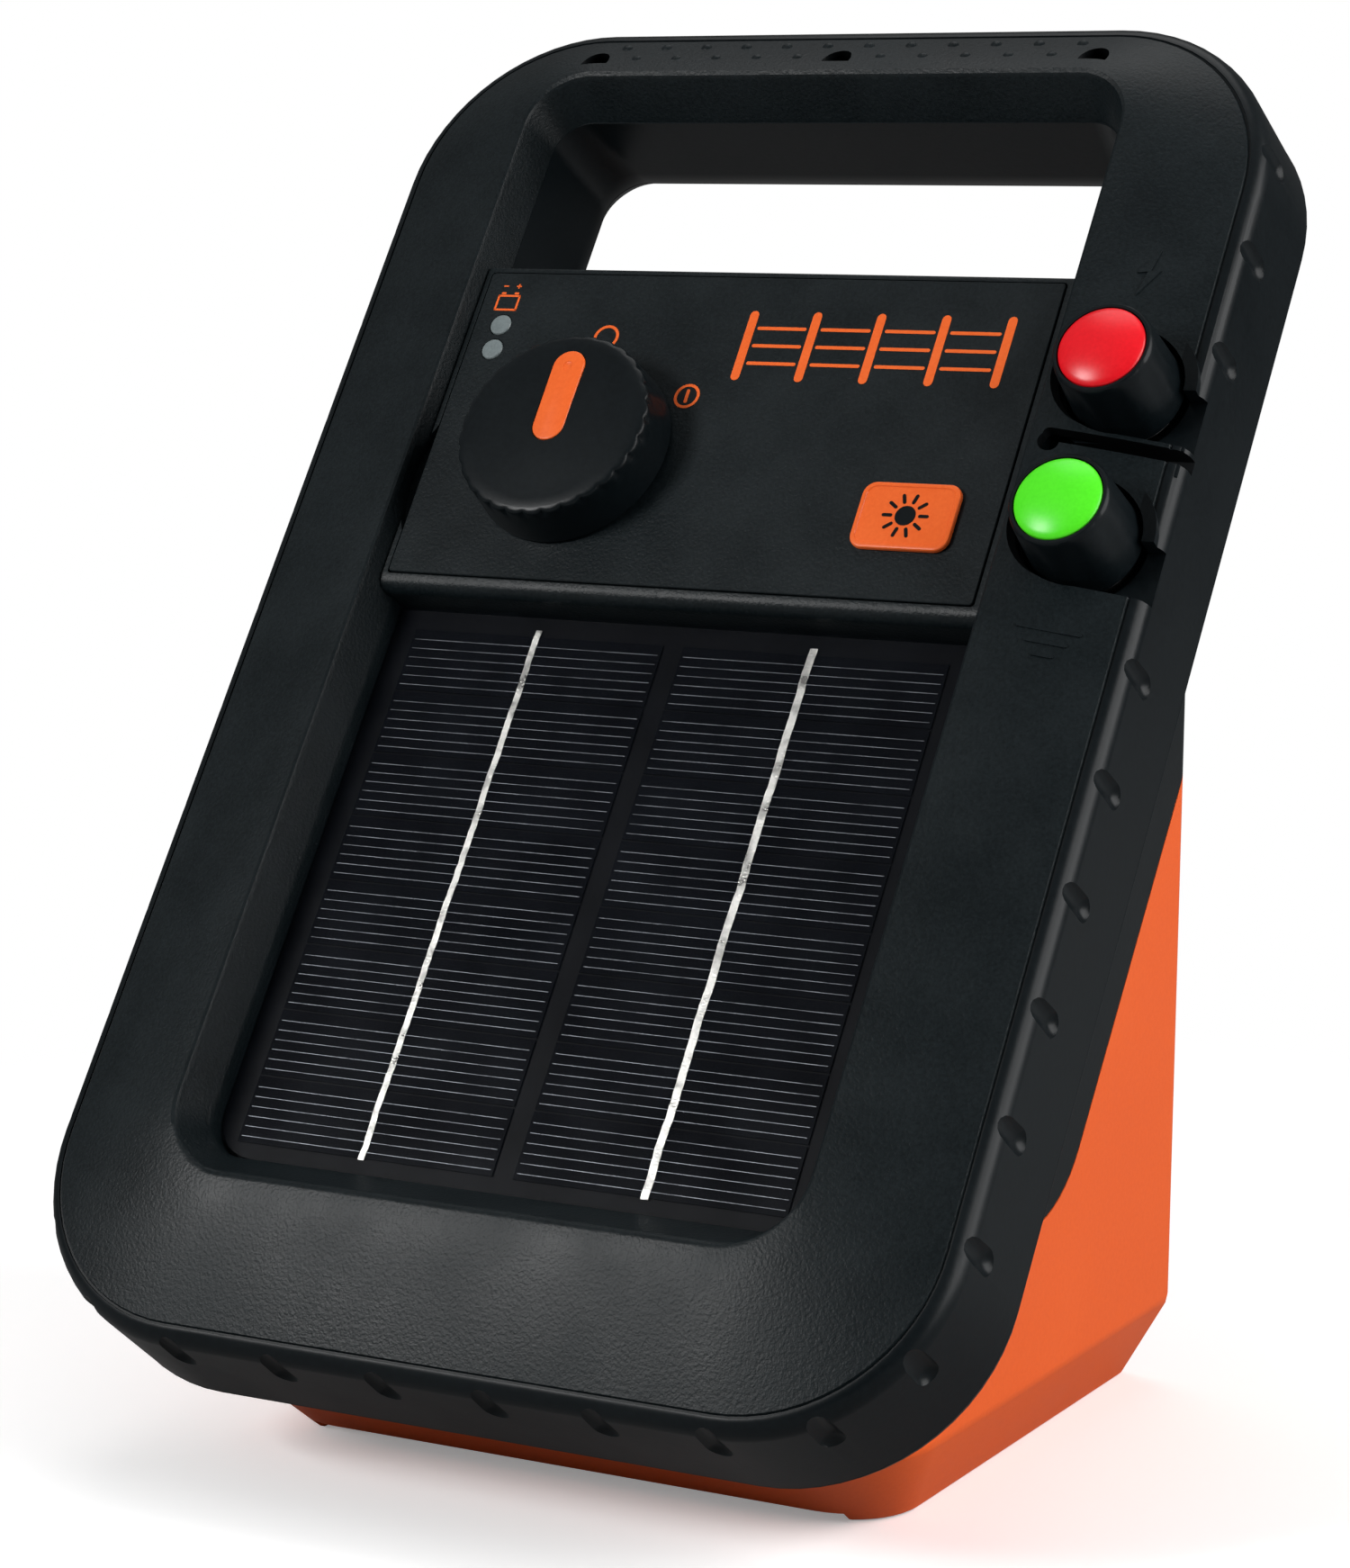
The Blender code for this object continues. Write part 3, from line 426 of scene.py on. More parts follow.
def make_materials():
    """A material for each slot, and two more: the printed lines, and the shade of deep recesses."""
    return {
        "black_textured": plastic(
            "textured_black", (0.0022, 0.0048, 0.0060), (0.0075, 0.0120, 0.0140),
            rough=(0.38, 0.46), grain=(1500.0, 0.00009), shine=0.22,
        ),
        "black_satin": plastic(
            "satin_black", (0.0026, 0.0046, 0.0058), (0.0046, 0.0074, 0.0090),
            rough=(0.30, 0.38), grain=(900.0, 0.000012), mottle=40.0, shine=0.2,
        ),
        # Painted shade: a darker, duller black for the walls of deep holes, slots and terminal hollows.
        "recess": plastic(
            "recess_black", (0.002, 0.0026, 0.003), (0.004, 0.005, 0.006),
            rough=(0.5, 0.6), grain=(900.0, 0.00001), shine=0.1,
        ),
        "orange_plastic": plastic(
            "orange_shell", (0.84, 0.115, 0.016), (0.88, 0.13, 0.021),
            rough=(0.36, 0.44), grain=(1100.0, 0.000015), mottle=30.0, shine=0.35,
        ),
        "accent_orange": plastic(
            "orange_accent", (0.92, 0.14, 0.022), (0.98, 0.165, 0.03),
            rough=(0.28, 0.36), grain=(1300.0, 0.00001), mottle=90.0, shine=0.3,
        ),
        "live_red": plastic(
            "red_cap", (0.86, 0.004, 0.012), (0.94, 0.008, 0.018),
            rough=(0.28, 0.34), grain=(1300.0, 0.000004), mottle=90.0, shine=0.4,
        ),
        "earth_green": plastic(
            "green_cap", (0.09, 0.93, 0.015), (0.11, 0.99, 0.022),
            rough=(0.28, 0.34), grain=(1300.0, 0.000004), mottle=90.0, shine=0.4,
        ),
        "lens_grey": plastic(
            "frosted_lens", (0.15, 0.18, 0.185), (0.20, 0.24, 0.245),
            rough=(0.3, 0.4), grain=(2000.0, 0.00002), mottle=300.0,
        ),
        "solar_cell": cell_glass(),
        "backsheet": plastic(
            "backsheet_black", (0.0010, 0.0014, 0.0026), (0.0020, 0.0026, 0.0044),
            rough=(0.3, 0.4), grain=(700.0, 0.000004), shine=0.12,
        ),
        "clear_cover": clear_cover(),
        "tinned_copper": metal("tinned_ribbon", (0.92, 0.91, 0.87), (0.25, 0.5), 2600.0, 0.00010),
        "finger": metal("silver_print", (0.36, 0.38, 0.42), (0.35, 0.5), 1500.0),
        "steel": metal("plated_steel", (0.62, 0.62, 0.63), (0.22, 0.36)),
        "seal_rubber": plastic(
            "rubber", (0.004, 0.004, 0.004), (0.008, 0.008, 0.008),
            rough=(0.7, 0.85), grain=(1500.0, 0.00004), shine=0.2,
        ),
        "circuit_board": plastic(
            "solder_mask", (0.010, 0.11, 0.035), (0.02, 0.17, 0.06),
            rough=(0.3, 0.4), grain=(500.0, 0.00002), mottle=200.0,
        ),
        "ferrite": plastic(
            "ferrite", (0.04, 0.04, 0.043), (0.08, 0.08, 0.085),
            rough=(0.55, 0.7), grain=(2500.0, 0.00004), mottle=300.0,
        ),
        "copper_winding": windings(),
        "capacitor_can": plastic(
            "capacitor_sleeve", (0.02, 0.05, 0.22), (0.03, 0.08, 0.3),
            rough=(0.3, 0.4), grain=(600.0, 0.00002), mottle=120.0,
        ),
        "battery_case": plastic(
            "battery_case", (0.035, 0.035, 0.04), (0.06, 0.06, 0.065),
            rough=(0.45, 0.6), grain=(1800.0, 0.00005),
        ),
        "foam": plastic(
            "foam", (0.05, 0.05, 0.05), (0.12, 0.12, 0.12),
            rough=(0.9, 1.0), grain=(1600.0, 0.0003),
        ),
    }


# ---------------------------------------------------------------- frame


def frame_loop(inset):
    return rounded(HALF_WIDTH - inset, LOW + inset, HIGH - inset, CORNER - inset, CORNER - inset)


def window_loop(inset, low_r, high_r):
    half, low, high = WINDOW
    return rounded(half - inset, low + inset * 2.2, high - inset * 1.9, low_r, high_r)


def opening_loop(grow, n, drop=None):
    """The hand opening at a depth n; drop moves only its lower edge."""
    half, low, high = OPENING
    turn = math.asin(min(1.0, max(0.0, (GRIP_START - n) / GRIP_ROUND)))
    side = grow + GRIP_ROUND * (1.0 - math.cos(turn))
    taper = TAPER * min(1.0, max(0.0, (OPENING_FRONT - n) / (OPENING_FRONT - PARTING)))
    low -= grow if drop is None else drop
    return level(rounded(half + side - taper, low, high + side, 1.5 + grow, 7.5 + side), n)


def crown_height(share):
    """Height of the border at a share of the way in from the frame's edge to the window."""
    return CROWN_LOW + (CROWN_HIGH - CROWN_LOW) * share + CROWN_BULGE * share * (1.0 - share)


def crown_at(u, v):
    """The border's height at a point of a side or of the handle, away from the corners."""
    outer, inner = HALF_WIDTH - CROWN_EDGE, WINDOW[0]
    side = (outer - abs(u)) / (outer - inner)
    top = (HIGH - CROWN_EDGE - v) / (HIGH - CROWN_EDGE - WINDOW[2])
    return crown_height(max(0.0, min(1.0, side, top)))


def crown_loops(count=7):
    outer = frame_loop(CROWN_EDGE)
    inner = window_loop(-0.5, 15.5, 12.5)
    loops = []
    for k in range(count):
        share = k / (count - 1)
        height = crown_height(share) - (0.12 if k == count - 1 else 0.0)
        pairs = zip(outer, inner)
        loops.append([(a + (c - a) * share, b + (d - b) * share, height) for (a, b), (c, d) in pairs])
    return loops


def bezel_shell():
    """The front half's thin shell: round its edge, over the border, down the window and back inside."""
    edge = (  # inset and n of each loop
        (-0.8, PARTING),
        (-0.72, PARTING + 0.4),
        (0.0, -7.8),
        (0.12, -6.9),
        (0.45, -5.9),
        (0.95, -5.1),
        (1.6, -4.45),
        (2.4, -4.05),
        (2.9, -3.95),
        (3.0, -4.2),
        (3.4, -4.2),
    )
    outside = [level(frame_loop(inset), n) for inset, n in edge]
    crown = crown_loops()
    rim = [
        level(window_loop(0.0, 15.0, 12.0), 2.6),
        level(window_loop(0.35, 14.4, 11.6), 1.9),
        level(window_loop(2.6, 9.4, 7.9), -5.4),
        level(window_loop(2.9, 9.0, 7.5), -6.5),
        level(window_loop(2.9, 9.0, 7.5), WINDOW_WALL_END),
    ]
    inside = [
        level(window_loop(0.6, 12.0, 10.0), WINDOW_WALL_END),
        level(window_loop(-2.0, 17.0, 13.0), 0.2),
        level(frame_loop(5.5), -6.6),
        level(frame_loop(2.6), -9.0),
        level(frame_loop(1.8), PARTING),
    ]
    indices = [SATIN] * (len(outside) - 1)
    indices += [TEXTURED] * (len(crown) + len(rim))
    indices += [SATIN] * (len(inside) + 1)
    return loft(outside + crown + rim + inside, closed=True, indices=indices)


def capsule(radius, low, high, sides=20):
    """An upright rod with a ball end at the bottom."""
    turns = [math.radians(a) for a in (12, 30, 50, 70, 90)]
    rings = [(radius * math.sin(a), low - radius * math.cos(a)) for a in turns]
    return stack(0.0, 0.0, [*rings, (radius, high)], sides)


def notch_at(u, v, normal):
    """The cutter of one notch: a rod whose axis is outside the frame's edge, so it bites little."""
    bm = capsule(NOTCH_RADIUS, NOTCH_END, 4.0)
    shift = (u + normal[0] * NOTCH_REACH, v + normal[1] * NOTCH_REACH, 0.0)
    bmesh.ops.translate(bm, verts=bm.verts, vec=shift)
    return painted(bm, SATIN)


def notches():
    """Notches up both sides to the upper corners, round the lower corners and along the bottom."""
    count = 11
    wire_ways = (6, 7)  # no notch on the right where the terminals' wire ways come out
    found = []
    for k in range(count):
        v = NOTCH_FIRST_V + NOTCH_PITCH * k
        for side in (-1, 1):
            if k == count - 1:
                found.append(corner_notch(side, HIGH - CORNER, 14.0))
            elif side < 0 or k not in wire_ways:
                found.append(notch_at(side * (HALF_WIDTH + EDGE_DRAFT), v, (side, 0.0)))
    for side in (-1, 1):
        for angle in (-30.0, -60.0):
            found.append(corner_notch(side, LOW + CORNER, angle))
    for k in (-2.5, -1.5, -0.5, 0.5, 1.5, 2.5):
        found.append(notch_at(NOTCH_PITCH * k, LOW - EDGE_DRAFT, (0.0, -1.0)))
    return merged(*found)


def corner_notch(side, centre_v, angle):
    turn = math.radians(angle)
    normal = (side * math.cos(turn), math.sin(turn))
    radius = CORNER + EDGE_DRAFT
    centre_u = side * (HALF_WIDTH - CORNER)
    return notch_at(centre_u + normal[0] * radius, centre_v + normal[1] * radius, normal)


def panel_profile():
    """Side profile of the shelf that holds the control panel, with a rounded lip at the bottom."""
    low, top = PANEL_LOW, OPENING[1]
    front, shelf, end, lip_round = -0.7, -5.5, -13.0, 3.0
    turns = (0.0, 0.3, 0.6, 0.9, 1.2, math.pi / 2)
    lip = [(low + lip_round * (1 - math.cos(a)), front - lip_round + lip_round * math.sin(a)) for a in turns]
    return [
        (low, end),
        *lip,
        (top - 1.0, front),
        (top - 0.3, -0.9),
        (top, -1.6),
        (top, -8.0),
        (top - WALL, -8.0),
        (top - WALL, shelf),
        (low + WALL, shelf),
        (low + WALL, end),
    ]


def opening_walls():
    depths = (OPENING_FRONT, GRIP_START, -25.0, -26.0, -27.0, -28.0, PARTING)
    loops = [opening_loop(0.0, n) for n in depths] + [opening_loop(WALL, n) for n in reversed(depths)]
    return painted(loft(loops, closed=True), SATIN)


def finger_relief():
    """Outline of the shallow arc beside the panel that clears fingers on the control knob."""
    edge, low, high, depth = -62.9, 210.0, 237.0, 3.6
    half = (high - low) / 2
    radius = (half * half + depth * depth) / (2 * depth)
    reach = math.asin(half / radius)
    centre = edge - depth + radius
    arc = [reach * (k / 12 - 1) for k in range(25)]
    return [(centre - radius * math.cos(a), (low + high) / 2 + radius * math.sin(a)) for a in arc]


def terminal_cup(u, v):
    """What one terminal adds to the front half, and what it takes away."""
    flare = ((11.6, -10.0), (11.6, 1.0), (12.0, 1.6), (14.5, 6.0))
    reach = 30.0
    wire_way = [(x + u + reach, y) for x, y in rounded(reach, v - 11.45, v - 0.2, 1.6, 1.2, 5)]
    boss = painted(stack(u, v, ((14.1, -12.5), (14.1, -3.0))), SATIN)
    removals = [
        # The terminal's hollow takes the third index, the black of painted shade.
        painted(stack(u, v, flare, 56), PAINTED_SHADE),
        painted(slab(wire_way, -7.2, 6.0), SATIN),
        stack(u, v, ((3.4, -14.0), (3.4, -8.0)), 20),
    ]
    return boss, removals


def front_bezel(looks):
    additions = [
        slab(rounded(64.4, 78.6, PANEL_LOW + 1.5, 10.0, 1.0), -13.0, -11.0),
        prism(panel_profile(), 64.6),
        opening_walls(),
        painted(box((66.0, SLOT_V - 4.0, -12.0), (94.0, SLOT_V + 4.0, -4.5)), SATIN),
    ]
    removals = [
        notches(),
        slab(rounded(63.6, 201.6, 272.0, 0.8, 0.8, 3), -2.7, 2.0),
        stack(*KNOB, ((4.8, -8.0), (4.8, 0.0))),
    ]
    for u, v in TERMINALS.values():
        boss, hollows = terminal_cup(u, v)
        additions.append(boss)
        removals += hollows
    # The slot and its round end take the third index, the black of painted shade.
    slot = [(x + 98.8, y) for x, y in rounded(30.0, SLOT_V - 1.4, SLOT_V + 1.4, 1.3, 1.3, 4)]
    removals.append(painted(slab(slot, -8.5, 6.0), PAINTED_SHADE))
    removals.append(painted(stack(70.2, SLOT_V - 1.5, ((2.0, -8.5), (2.0, 6.0)), 24), PAINTED_SHADE))
    for u, v in HANDLE_SCREWS:
        top = crown_at(u, v)
        additions.append(painted(stack(u, v, ((4.7, -20.0), (4.7, -2.5)), 24), SATIN))
        hole = ((2.75, -14.0), (2.75, top - 0.15), (3.3, top + 1.0))
        # The screw hole takes the black of painted shade.
        removals.append(painted(stack(u, v, hole, 32), PAINTED_SHADE))
    for u, v in LEDS:
        removals.append(stack(u, v, ((1.9, -8.0), (1.9, 0.0)), 20))
    removals.append(slab(finger_relief(), -2.6, 1.5))
    bm = shaped(bezel_shell(), *joins(*additions), *cuts(*removals))
    materials = [looks["black_textured"], looks["black_satin"], looks["recess"]]
    piece("frame_front", bm, materials, nodes=["front_bezel"], weighted=True)


# ---------------------------------------------------------------- rear shell and base


def body_loop(half, front, radius, inset):
    return rounded(half - inset, front + inset, BODY_BACK - inset, radius - inset, 4.0 - inset / 2, 10)


def body_form(levels, inset=0.0, floor=0.0):
    loops = []
    for height, half, front, radius in levels:
        loops.append(level(body_loop(half, front, radius, inset), max(height, floor)))
    return loft(loops)


def split_path(offset, steps=14):
    """(v, n) points of the line where rear shell and base part, moved by an offset."""
    centre = (SPLIT_LOW_V + SPLIT_CORNER, SPLIT_N + SPLIT_CORNER)
    radius = SPLIT_CORNER + offset
    turns = [math.radians(180 + 90 * step / steps) for step in range(steps + 1)]
    return [(centre[0] + radius * math.cos(a), centre[1] + radius * math.sin(a)) for a in turns]


def ledge_v(n):
    """v of the point at the ledge's height for a depth n."""
    return (LEDGE_Z - n * math.sin(LEAN)) / math.cos(LEAN)


def box_profile(offset, front_n, drop):
    """Side profile of the rear shell's box, open to the front at front_n."""
    path = split_path(-offset)
    back_n = path[-1][1]
    shift = drop / math.cos(LEAN)
    ledge = [(ledge_v(n) - shift, n) for n in (back_n, front_n)]
    return [(path[0][0], front_n), *path, *ledge]


def to_face(bm):
    """Turns a mesh drawn in ground millimetres into face millimetres."""
    bmesh.ops.transform(bm, matrix=FACE.inverted() @ GROUND, verts=bm.verts)
    return bm


def rear_shell(looks):
    joint = PARTING - GAP
    edge = ((0.1, joint), (0.1, -30.2), (0.5, -31.9), (1.5, -33.6), (3.2, -35.0), (6.0, BACK))
    lip = ((-35.7, 2.1), (-35.2, 1.6), (-34.4, 0.9), (-33.6, 0.4), (-32.6, 0.1))
    outside = [
        *[level(frame_loop(inset), n) for inset, n in edge],
        opening_loop(0.0, BACK + 0.05, 2.6),
        *[opening_loop(0.0, n, drop) for n, drop in lip],
        *[opening_loop(0.0, n) for n in (-31.6, -30.4, joint)],
    ]
    inside = [
        opening_loop(WALL, joint),
        opening_loop(WALL, -31.6),
        opening_loop(WALL + 0.6, BACK + WALL),
        level(frame_loop(7.0), BACK + WALL),
        level(frame_loop(4.6), -32.6),
        level(frame_loop(2.7), joint),
    ]
    outer_cut = prism(box_profile(0.0, -34.6, 0.0), 90.0)
    inner_cut = prism(box_profile(WALL, -30.2, WALL), 90.0)
    outer = shaped(to_face(body_form(BODY_LEVELS)), ("INTERSECT", outer_cut))
    inner = shaped(to_face(body_form(BODY_LEVELS, WALL)), ("INTERSECT", inner_cut))
    battery_room = to_face(box((-38.0, 137.6, 20.0), (38.0, 188.1, 120.0)))
    removals = [inner, battery_room]
    posts = []
    for u, v in CASE_SCREWS:
        posts.append(stack(u, v, ((4.5, -35.0), (4.5, -30.0)), 24))
        removals.append(stack(u, v, ((4.6, -37.5), (3.3, -35.4), (3.3, -33.3)), 32))
        removals.append(stack(u, v, ((1.7, -34.0), (1.7, -29.0)), 16))
    bm = shaped(loft(outside + inside, closed=True), *joins(outer, *posts), *cuts(*removals))
    materials = [looks["black_satin"]]
    piece("frame_rear", painted(bm, 0), materials, nodes=["rear_shell"], weighted=True)


def base_housing(looks):
    path = split_path(GAP)
    front_n, back_n = BACK - GAP, path[-1][1]
    behind = ((330.0, back_n), (330.0, -260.0), (-60.0, -260.0))  # well past the body
    profile = [(path[0][0], front_n), *path, *behind, (behind[-1][0], front_n)]
    form = shaped(to_face(body_form(BASE_LEVELS)), ("INTERSECT", prism(profile, 90.0)))
    hollow = to_face(body_form(BODY_LEVELS, WALL, BASE_FLOOR))
    channel = box((-CHANNEL_HALF_WIDTH, 60.0, -1.0), (CHANNEL_HALF_WIDTH, 200.0, CHANNEL_DEPTH))
    posts = []
    removals = [to_face(channel)]
    for x in (-BASE_SCREW_X, BASE_SCREW_X):
        low, high = BASE_SCREW_Z - 6.0, BASE_SCREW_Z + 4.0
        posts.append(to_face(box((x - 5.0, 186.0, low), (x + 5.0, BODY_BACK - 1.0, high))))
        removals.append(to_face(along_y(x, BASE_SCREW_Z, 188.4, 194.0, 3.3)))
        removals.append(to_face(along_y(x, BASE_SCREW_Z, 184.0, 190.0, 1.7)))
    bm = shaped(form, *cuts(hollow), *joins(*posts), *cuts(*removals))
    materials = [looks["orange_plastic"]]
    piece("base", painted(bm, 0), materials, nodes=["base_housing"], weighted=True)


# ---------------------------------------------------------------- control panel


def fascia(looks):
    outline = rounded(63.3, 201.9, 271.7, 0.8, 0.8, 4)
    inner = rounded(63.15, 202.05, 271.55, 0.65, 0.65, 4)
    plate = loft([level(outline, -2.4), level(outline, FASCIA_TOP - 0.15), level(inner, FASCIA_TOP)])
    holes = [stack(*KNOB, ((4.8, -6.0), (4.8, 4.0)))]
    for u, v in LEDS:
        holes.append(stack(u, v, ((2.5, -6.0), (2.5, 4.0))))
    bm = shaped(plate, *cuts(*holes))
    piece("fascia", bm, [looks["black_textured"]], nodes=["control_fascia"])


def bar(a, b, width):
    """A line with round ends, as an outline."""
    heading = math.atan2(b[1] - a[1], b[0] - a[0])
    points = []
    for centre, turn in ((b, heading - math.pi / 2), (a, heading + math.pi / 2)):
        for step in range(7):
            angle = turn + math.pi * step / 6
            x = centre[0] + width / 2 * math.cos(angle)
            points.append((x, centre[1] + width / 2 * math.sin(angle)))
    return points


def ring(u, v, radius, width, low, high, steps=48):
    """A round sign of a given line width."""
    outer = circle(u, v, radius + width / 2, steps)
    inner = circle(u, v, radius - width / 2, steps)
    return loft([level(outer, low), level(outer, high), level(inner, high), level(inner, low)], closed=True)


def marks(looks):
    """Printed signs: off, on, battery, and a plain fence pictogram."""
    low, high = FASCIA_TOP - 0.1, FASCIA_TOP + 0.06

    def line(a, b, width):
        return slab(bar(a, b, width), low, high)

    shapes = [
        ring(-32.0, 257.0, 2.5, 0.6, low, high),
        ring(-9.6, 244.1, 2.45, 0.6, low, high),
        line((-9.6, 242.9), (-9.6, 245.3), 0.7),
    ]
    u, v = -57.5, 264.6  # battery sign: case, terminals, minus and plus
    case = ((u - 2.4, v - 1.7), (u + 2.4, v - 1.7), (u + 2.4, v + 1.6), (u - 2.4, v + 1.6))
    for a, b in zip(case, case[1:] + case[:1]):
        shapes.append(line(a, b, 0.45))
    for x in (u - 1.5, u + 1.5):
        shapes.append(line((x - 0.3, v + 2.2), (x + 0.3, v + 2.2), 0.5))
        shapes.append(line((x - 0.45, v + 3.9), (x + 0.45, v + 3.9), 0.3))
    shapes.append(line((u + 1.5, v + 3.5), (u + 1.5, v + 4.3), 0.3))
    first_post, post_gap = -0.5, 13.8
    for post in range(5):
        x = first_post + post_gap * post
        shapes.append(line((x, 249.0), (x, 263.0), 1.9))
    for wire in (252.0, 256.0, 260.0):
        for gap in range(4):
            x = first_post + post_gap * gap
            shapes.append(line((x + 1.9, wire), (x + 11.9, wire), 0.75))
    piece("fascia_marks", merged(*shapes), [looks["accent_orange"]])


def badge(looks):
    """The badge with a raised rim, and a plain sun on it."""
    u, v = BADGE
    rim = 1.3
    rings = []
    for inset, height in ((0.0, 0.3), (0.0, 0.95), (0.15, 1.2), (0.5, rim)):
        outline = rounded(10.2 - inset, -7.1 + inset, 7.1 - inset, 2.8 - inset, 2.8 - inset, 8)
        rings.append([(x + u, y + v, FASCIA_TOP + height) for x, y in outline])
    sunk = rounded(9.3, -6.2, 6.2, 2.1, 2.1, 8)
    rings.append([(x + u, y + v, FASCIA_TOP + rim) for x, y in sunk])
    rings.append([(x * 0.985 + u, y * 0.98 + v, FASCIA_TOP + 1.12) for x, y in sunk])
    piece("badge", loft(rings), [looks["accent_orange"]], nodes=["badge_plate"])
    low, high = FASCIA_TOP + 1.0, FASCIA_TOP + 1.2
    near, far, rays = 3.0, 4.5, 10
    sun = [slab(circle(u, v, 2.1, 32), low, high)]
    for k in range(rays):
        turn = math.tau * k / rays
        a = (u + near * math.cos(turn), v + near * math.sin(turn))
        b = (u + far * math.cos(turn), v + far * math.sin(turn))
        sun.append(slab(bar(a, b, 0.7), low, high))
    piece("badge_sun", merged(*sun), [looks["black_satin"]])


def knob(looks):
    """The control knob with a toothed rim, and the pointer let into its top."""
    u, v = KNOB
    teeth = 30
    sides = teeth * 8
    pocket_floor = 9.8

    def toothed(radius, depth, height):
        points = []
        for k in range(sides):
            angle = math.tau * k / sides
            wave = abs(math.cos(angle * teeth / 2)) ** 0.6
            r = radius - depth * (1.0 - wave)
            points.append((u + r * math.cos(angle), v + r * math.sin(angle), height))
        return points

    def capsule_outline(half, low, high):
        return [(x + u, y + v) for x, y in rounded(half, low, high, half - 0.01, half - 0.01, 10)]

    rim = (  # radius, depth of the teeth, height
        (20.3, 0.0, 0.1),
        (20.8, 0.0, 0.4),
        (20.7, 0.0, 2.2),
        (20.4, 0.0, 6.4),
        (20.3, 0.0, 8.2),
        (20.3, 0.15, 8.6),
        (20.3, 0.5, 9.3),
        (20.25, 0.55, 9.8),
        (20.0, 0.35, 10.15),
    )
    top = ((19.6, 10.35), (19.0, 10.55), (17.0, 10.7), (12.0, 10.95), (6.0, 11.15), (1.0, 11.2))
    loops = [toothed(*ring_sizes) for ring_sizes in rim]
    loops += [toothed(radius, 0.0, height) for radius, height in top]
    pocket = slab(capsule_outline(3.6, -4.4, 16.1), pocket_floor, 12.6)
    hollow = stack(u, v, ((17.2, -1.0), (17.2, 7.4)), 48)
    hub = stack(u, v, ((6.0, 0.2), (6.0, 8.0)), 32)
    bm = shaped(loft(loops), *cuts(pocket, hollow), *joins(hub))
    satin = [looks["black_satin"]]
    piece("control_knob_body", bm, satin, "control_knob", ["rotary_knob"], sharp=38)
    rings = []
    for inset, height in ((0.0, pocket_floor), (0.0, 11.15), (0.12, 11.3), (0.4, 11.38)):
        rings.append(level(capsule_outline(3.45 - inset, -4.2 + inset, 15.9 - inset), height))
    dimple = stack(u, v + 12.4, ((0.4, 11.15), (1.0, 11.3), (1.1, 11.6)), 20)
    pointer = shaped(loft(rings), *cuts(dimple))
    orange = [looks["accent_orange"]]
    piece("control_knob_pointer", pointer, orange, "control_knob", ["knob_pointer"])


def lenses(looks):
    stem = ((1.5, -23.5), (1.5, -2.5), (2.3, -2.5), (2.3, FASCIA_TOP))
    dome = ((2.15, -0.18), (1.6, -0.1), (0.4, -0.1))
    for name, (u, v) in zip(("led_lens_upper", "led_lens_lower"), LEDS):
        lens = stack(u, v, (*stem, *dome), 32)
        piece(name + "_visual", lens, [looks["lens_grey"]], nodes=[name])


# ---------------------------------------------------------------- solar panel


def solar_panel(looks):
    """Two columns of cell strips, the printed lines on each strip, and a ribbon down each column."""
    face = CELL_TOP - 0.15
    strips, fingers = [], []
    for left, right in ((-58.0, -2.2), (2.2, 58.0)):
        for row in range(STRIPS):
            low = CELL_LOW_V + row * STRIP_PITCH
            strips.append(box((left, low, face - 0.25), (right, low + STRIP_HEIGHT, face)))
            for k in range(FINGERS):
                line = low + 1.2 + k * FINGER_PITCH
                start = (left + 0.6, line - 0.05, face - 0.01)
                fingers.append(box(start, (right - 0.6, line + 0.05, face + 0.03)))
    columns = ["cell_column_left", "cell_column_right"]
    piece("solar_cells", merged(*strips), [looks["solar_cell"]], nodes=columns)
    piece("cell_fingers", merged(*fingers), [looks["finger"]])
    tinned = [looks["tinned_copper"]]
    for side, u, width in (("left", -30.3, 1.3), ("right", 29.6, 1.6)):
        ribbon = crinkled_ribbon(u, 83.2, 195.0, width)
        nodes = [f"ribbon_{side}"]
        piece(f"bus_ribbon_{side}", ribbon, tinned, nodes=nodes, sharp=15)


def crinkled_ribbon(u, low, high, width, rows=150):
    """A soft tinned ribbon: its edges wander and its face kinks where it dips between strips."""
    bm = bmesh.new()
    previous = None
    for k in range(rows + 1):
        v = low + (high - low) * k / rows
        kink = math.sin((v - low) / STRIP_PITCH * math.tau) * 0.05
        slow = noise.noise(Vector((u, v * 0.09, 0.0))) * 0.2
        quick = noise.noise(Vector((u, v * 0.6, 3.0))) * 0.14
        middle = u + (kink + slow + quick)
        section = []
        for share in (-1.0, -0.35, 0.35, 1.0):
            crease = 0.1 if abs(share) > 0.5 else 0.06
            lift = noise.noise(Vector((share * 1.3 + u, v * 0.7, 9.0))) * crease
            section.append((middle + share * width / 2, v, CELL_TOP - 0.06 + lift))
        for share in (1.0, -1.0):
            section.append((middle + share * width / 2, v, CELL_TOP - 0.16))
        current = [bm.verts.new(point) for point in section]
        if previous:
            for i in range(len(current)):
                j = (i + 1) % len(current)
                bm.faces.new((previous[i], previous[j], current[j], current[i]))
        else:
            bm.faces.new(current)
        previous = current
    bm.faces.new(previous)
    return bm


# ---------------------------------------------------------------- terminals


def washer(u, v, rings):
    """A flat ring with a hole for the stud: rings of (radius, height) round its outside."""
    hole, top, bottom = 3.3, rings[0][1], rings[-1][1]
    section = (*rings, (hole, bottom), (hole, top))
    return loft([level(circle(u, v, radius, 64), height) for radius, height in section], closed=True)


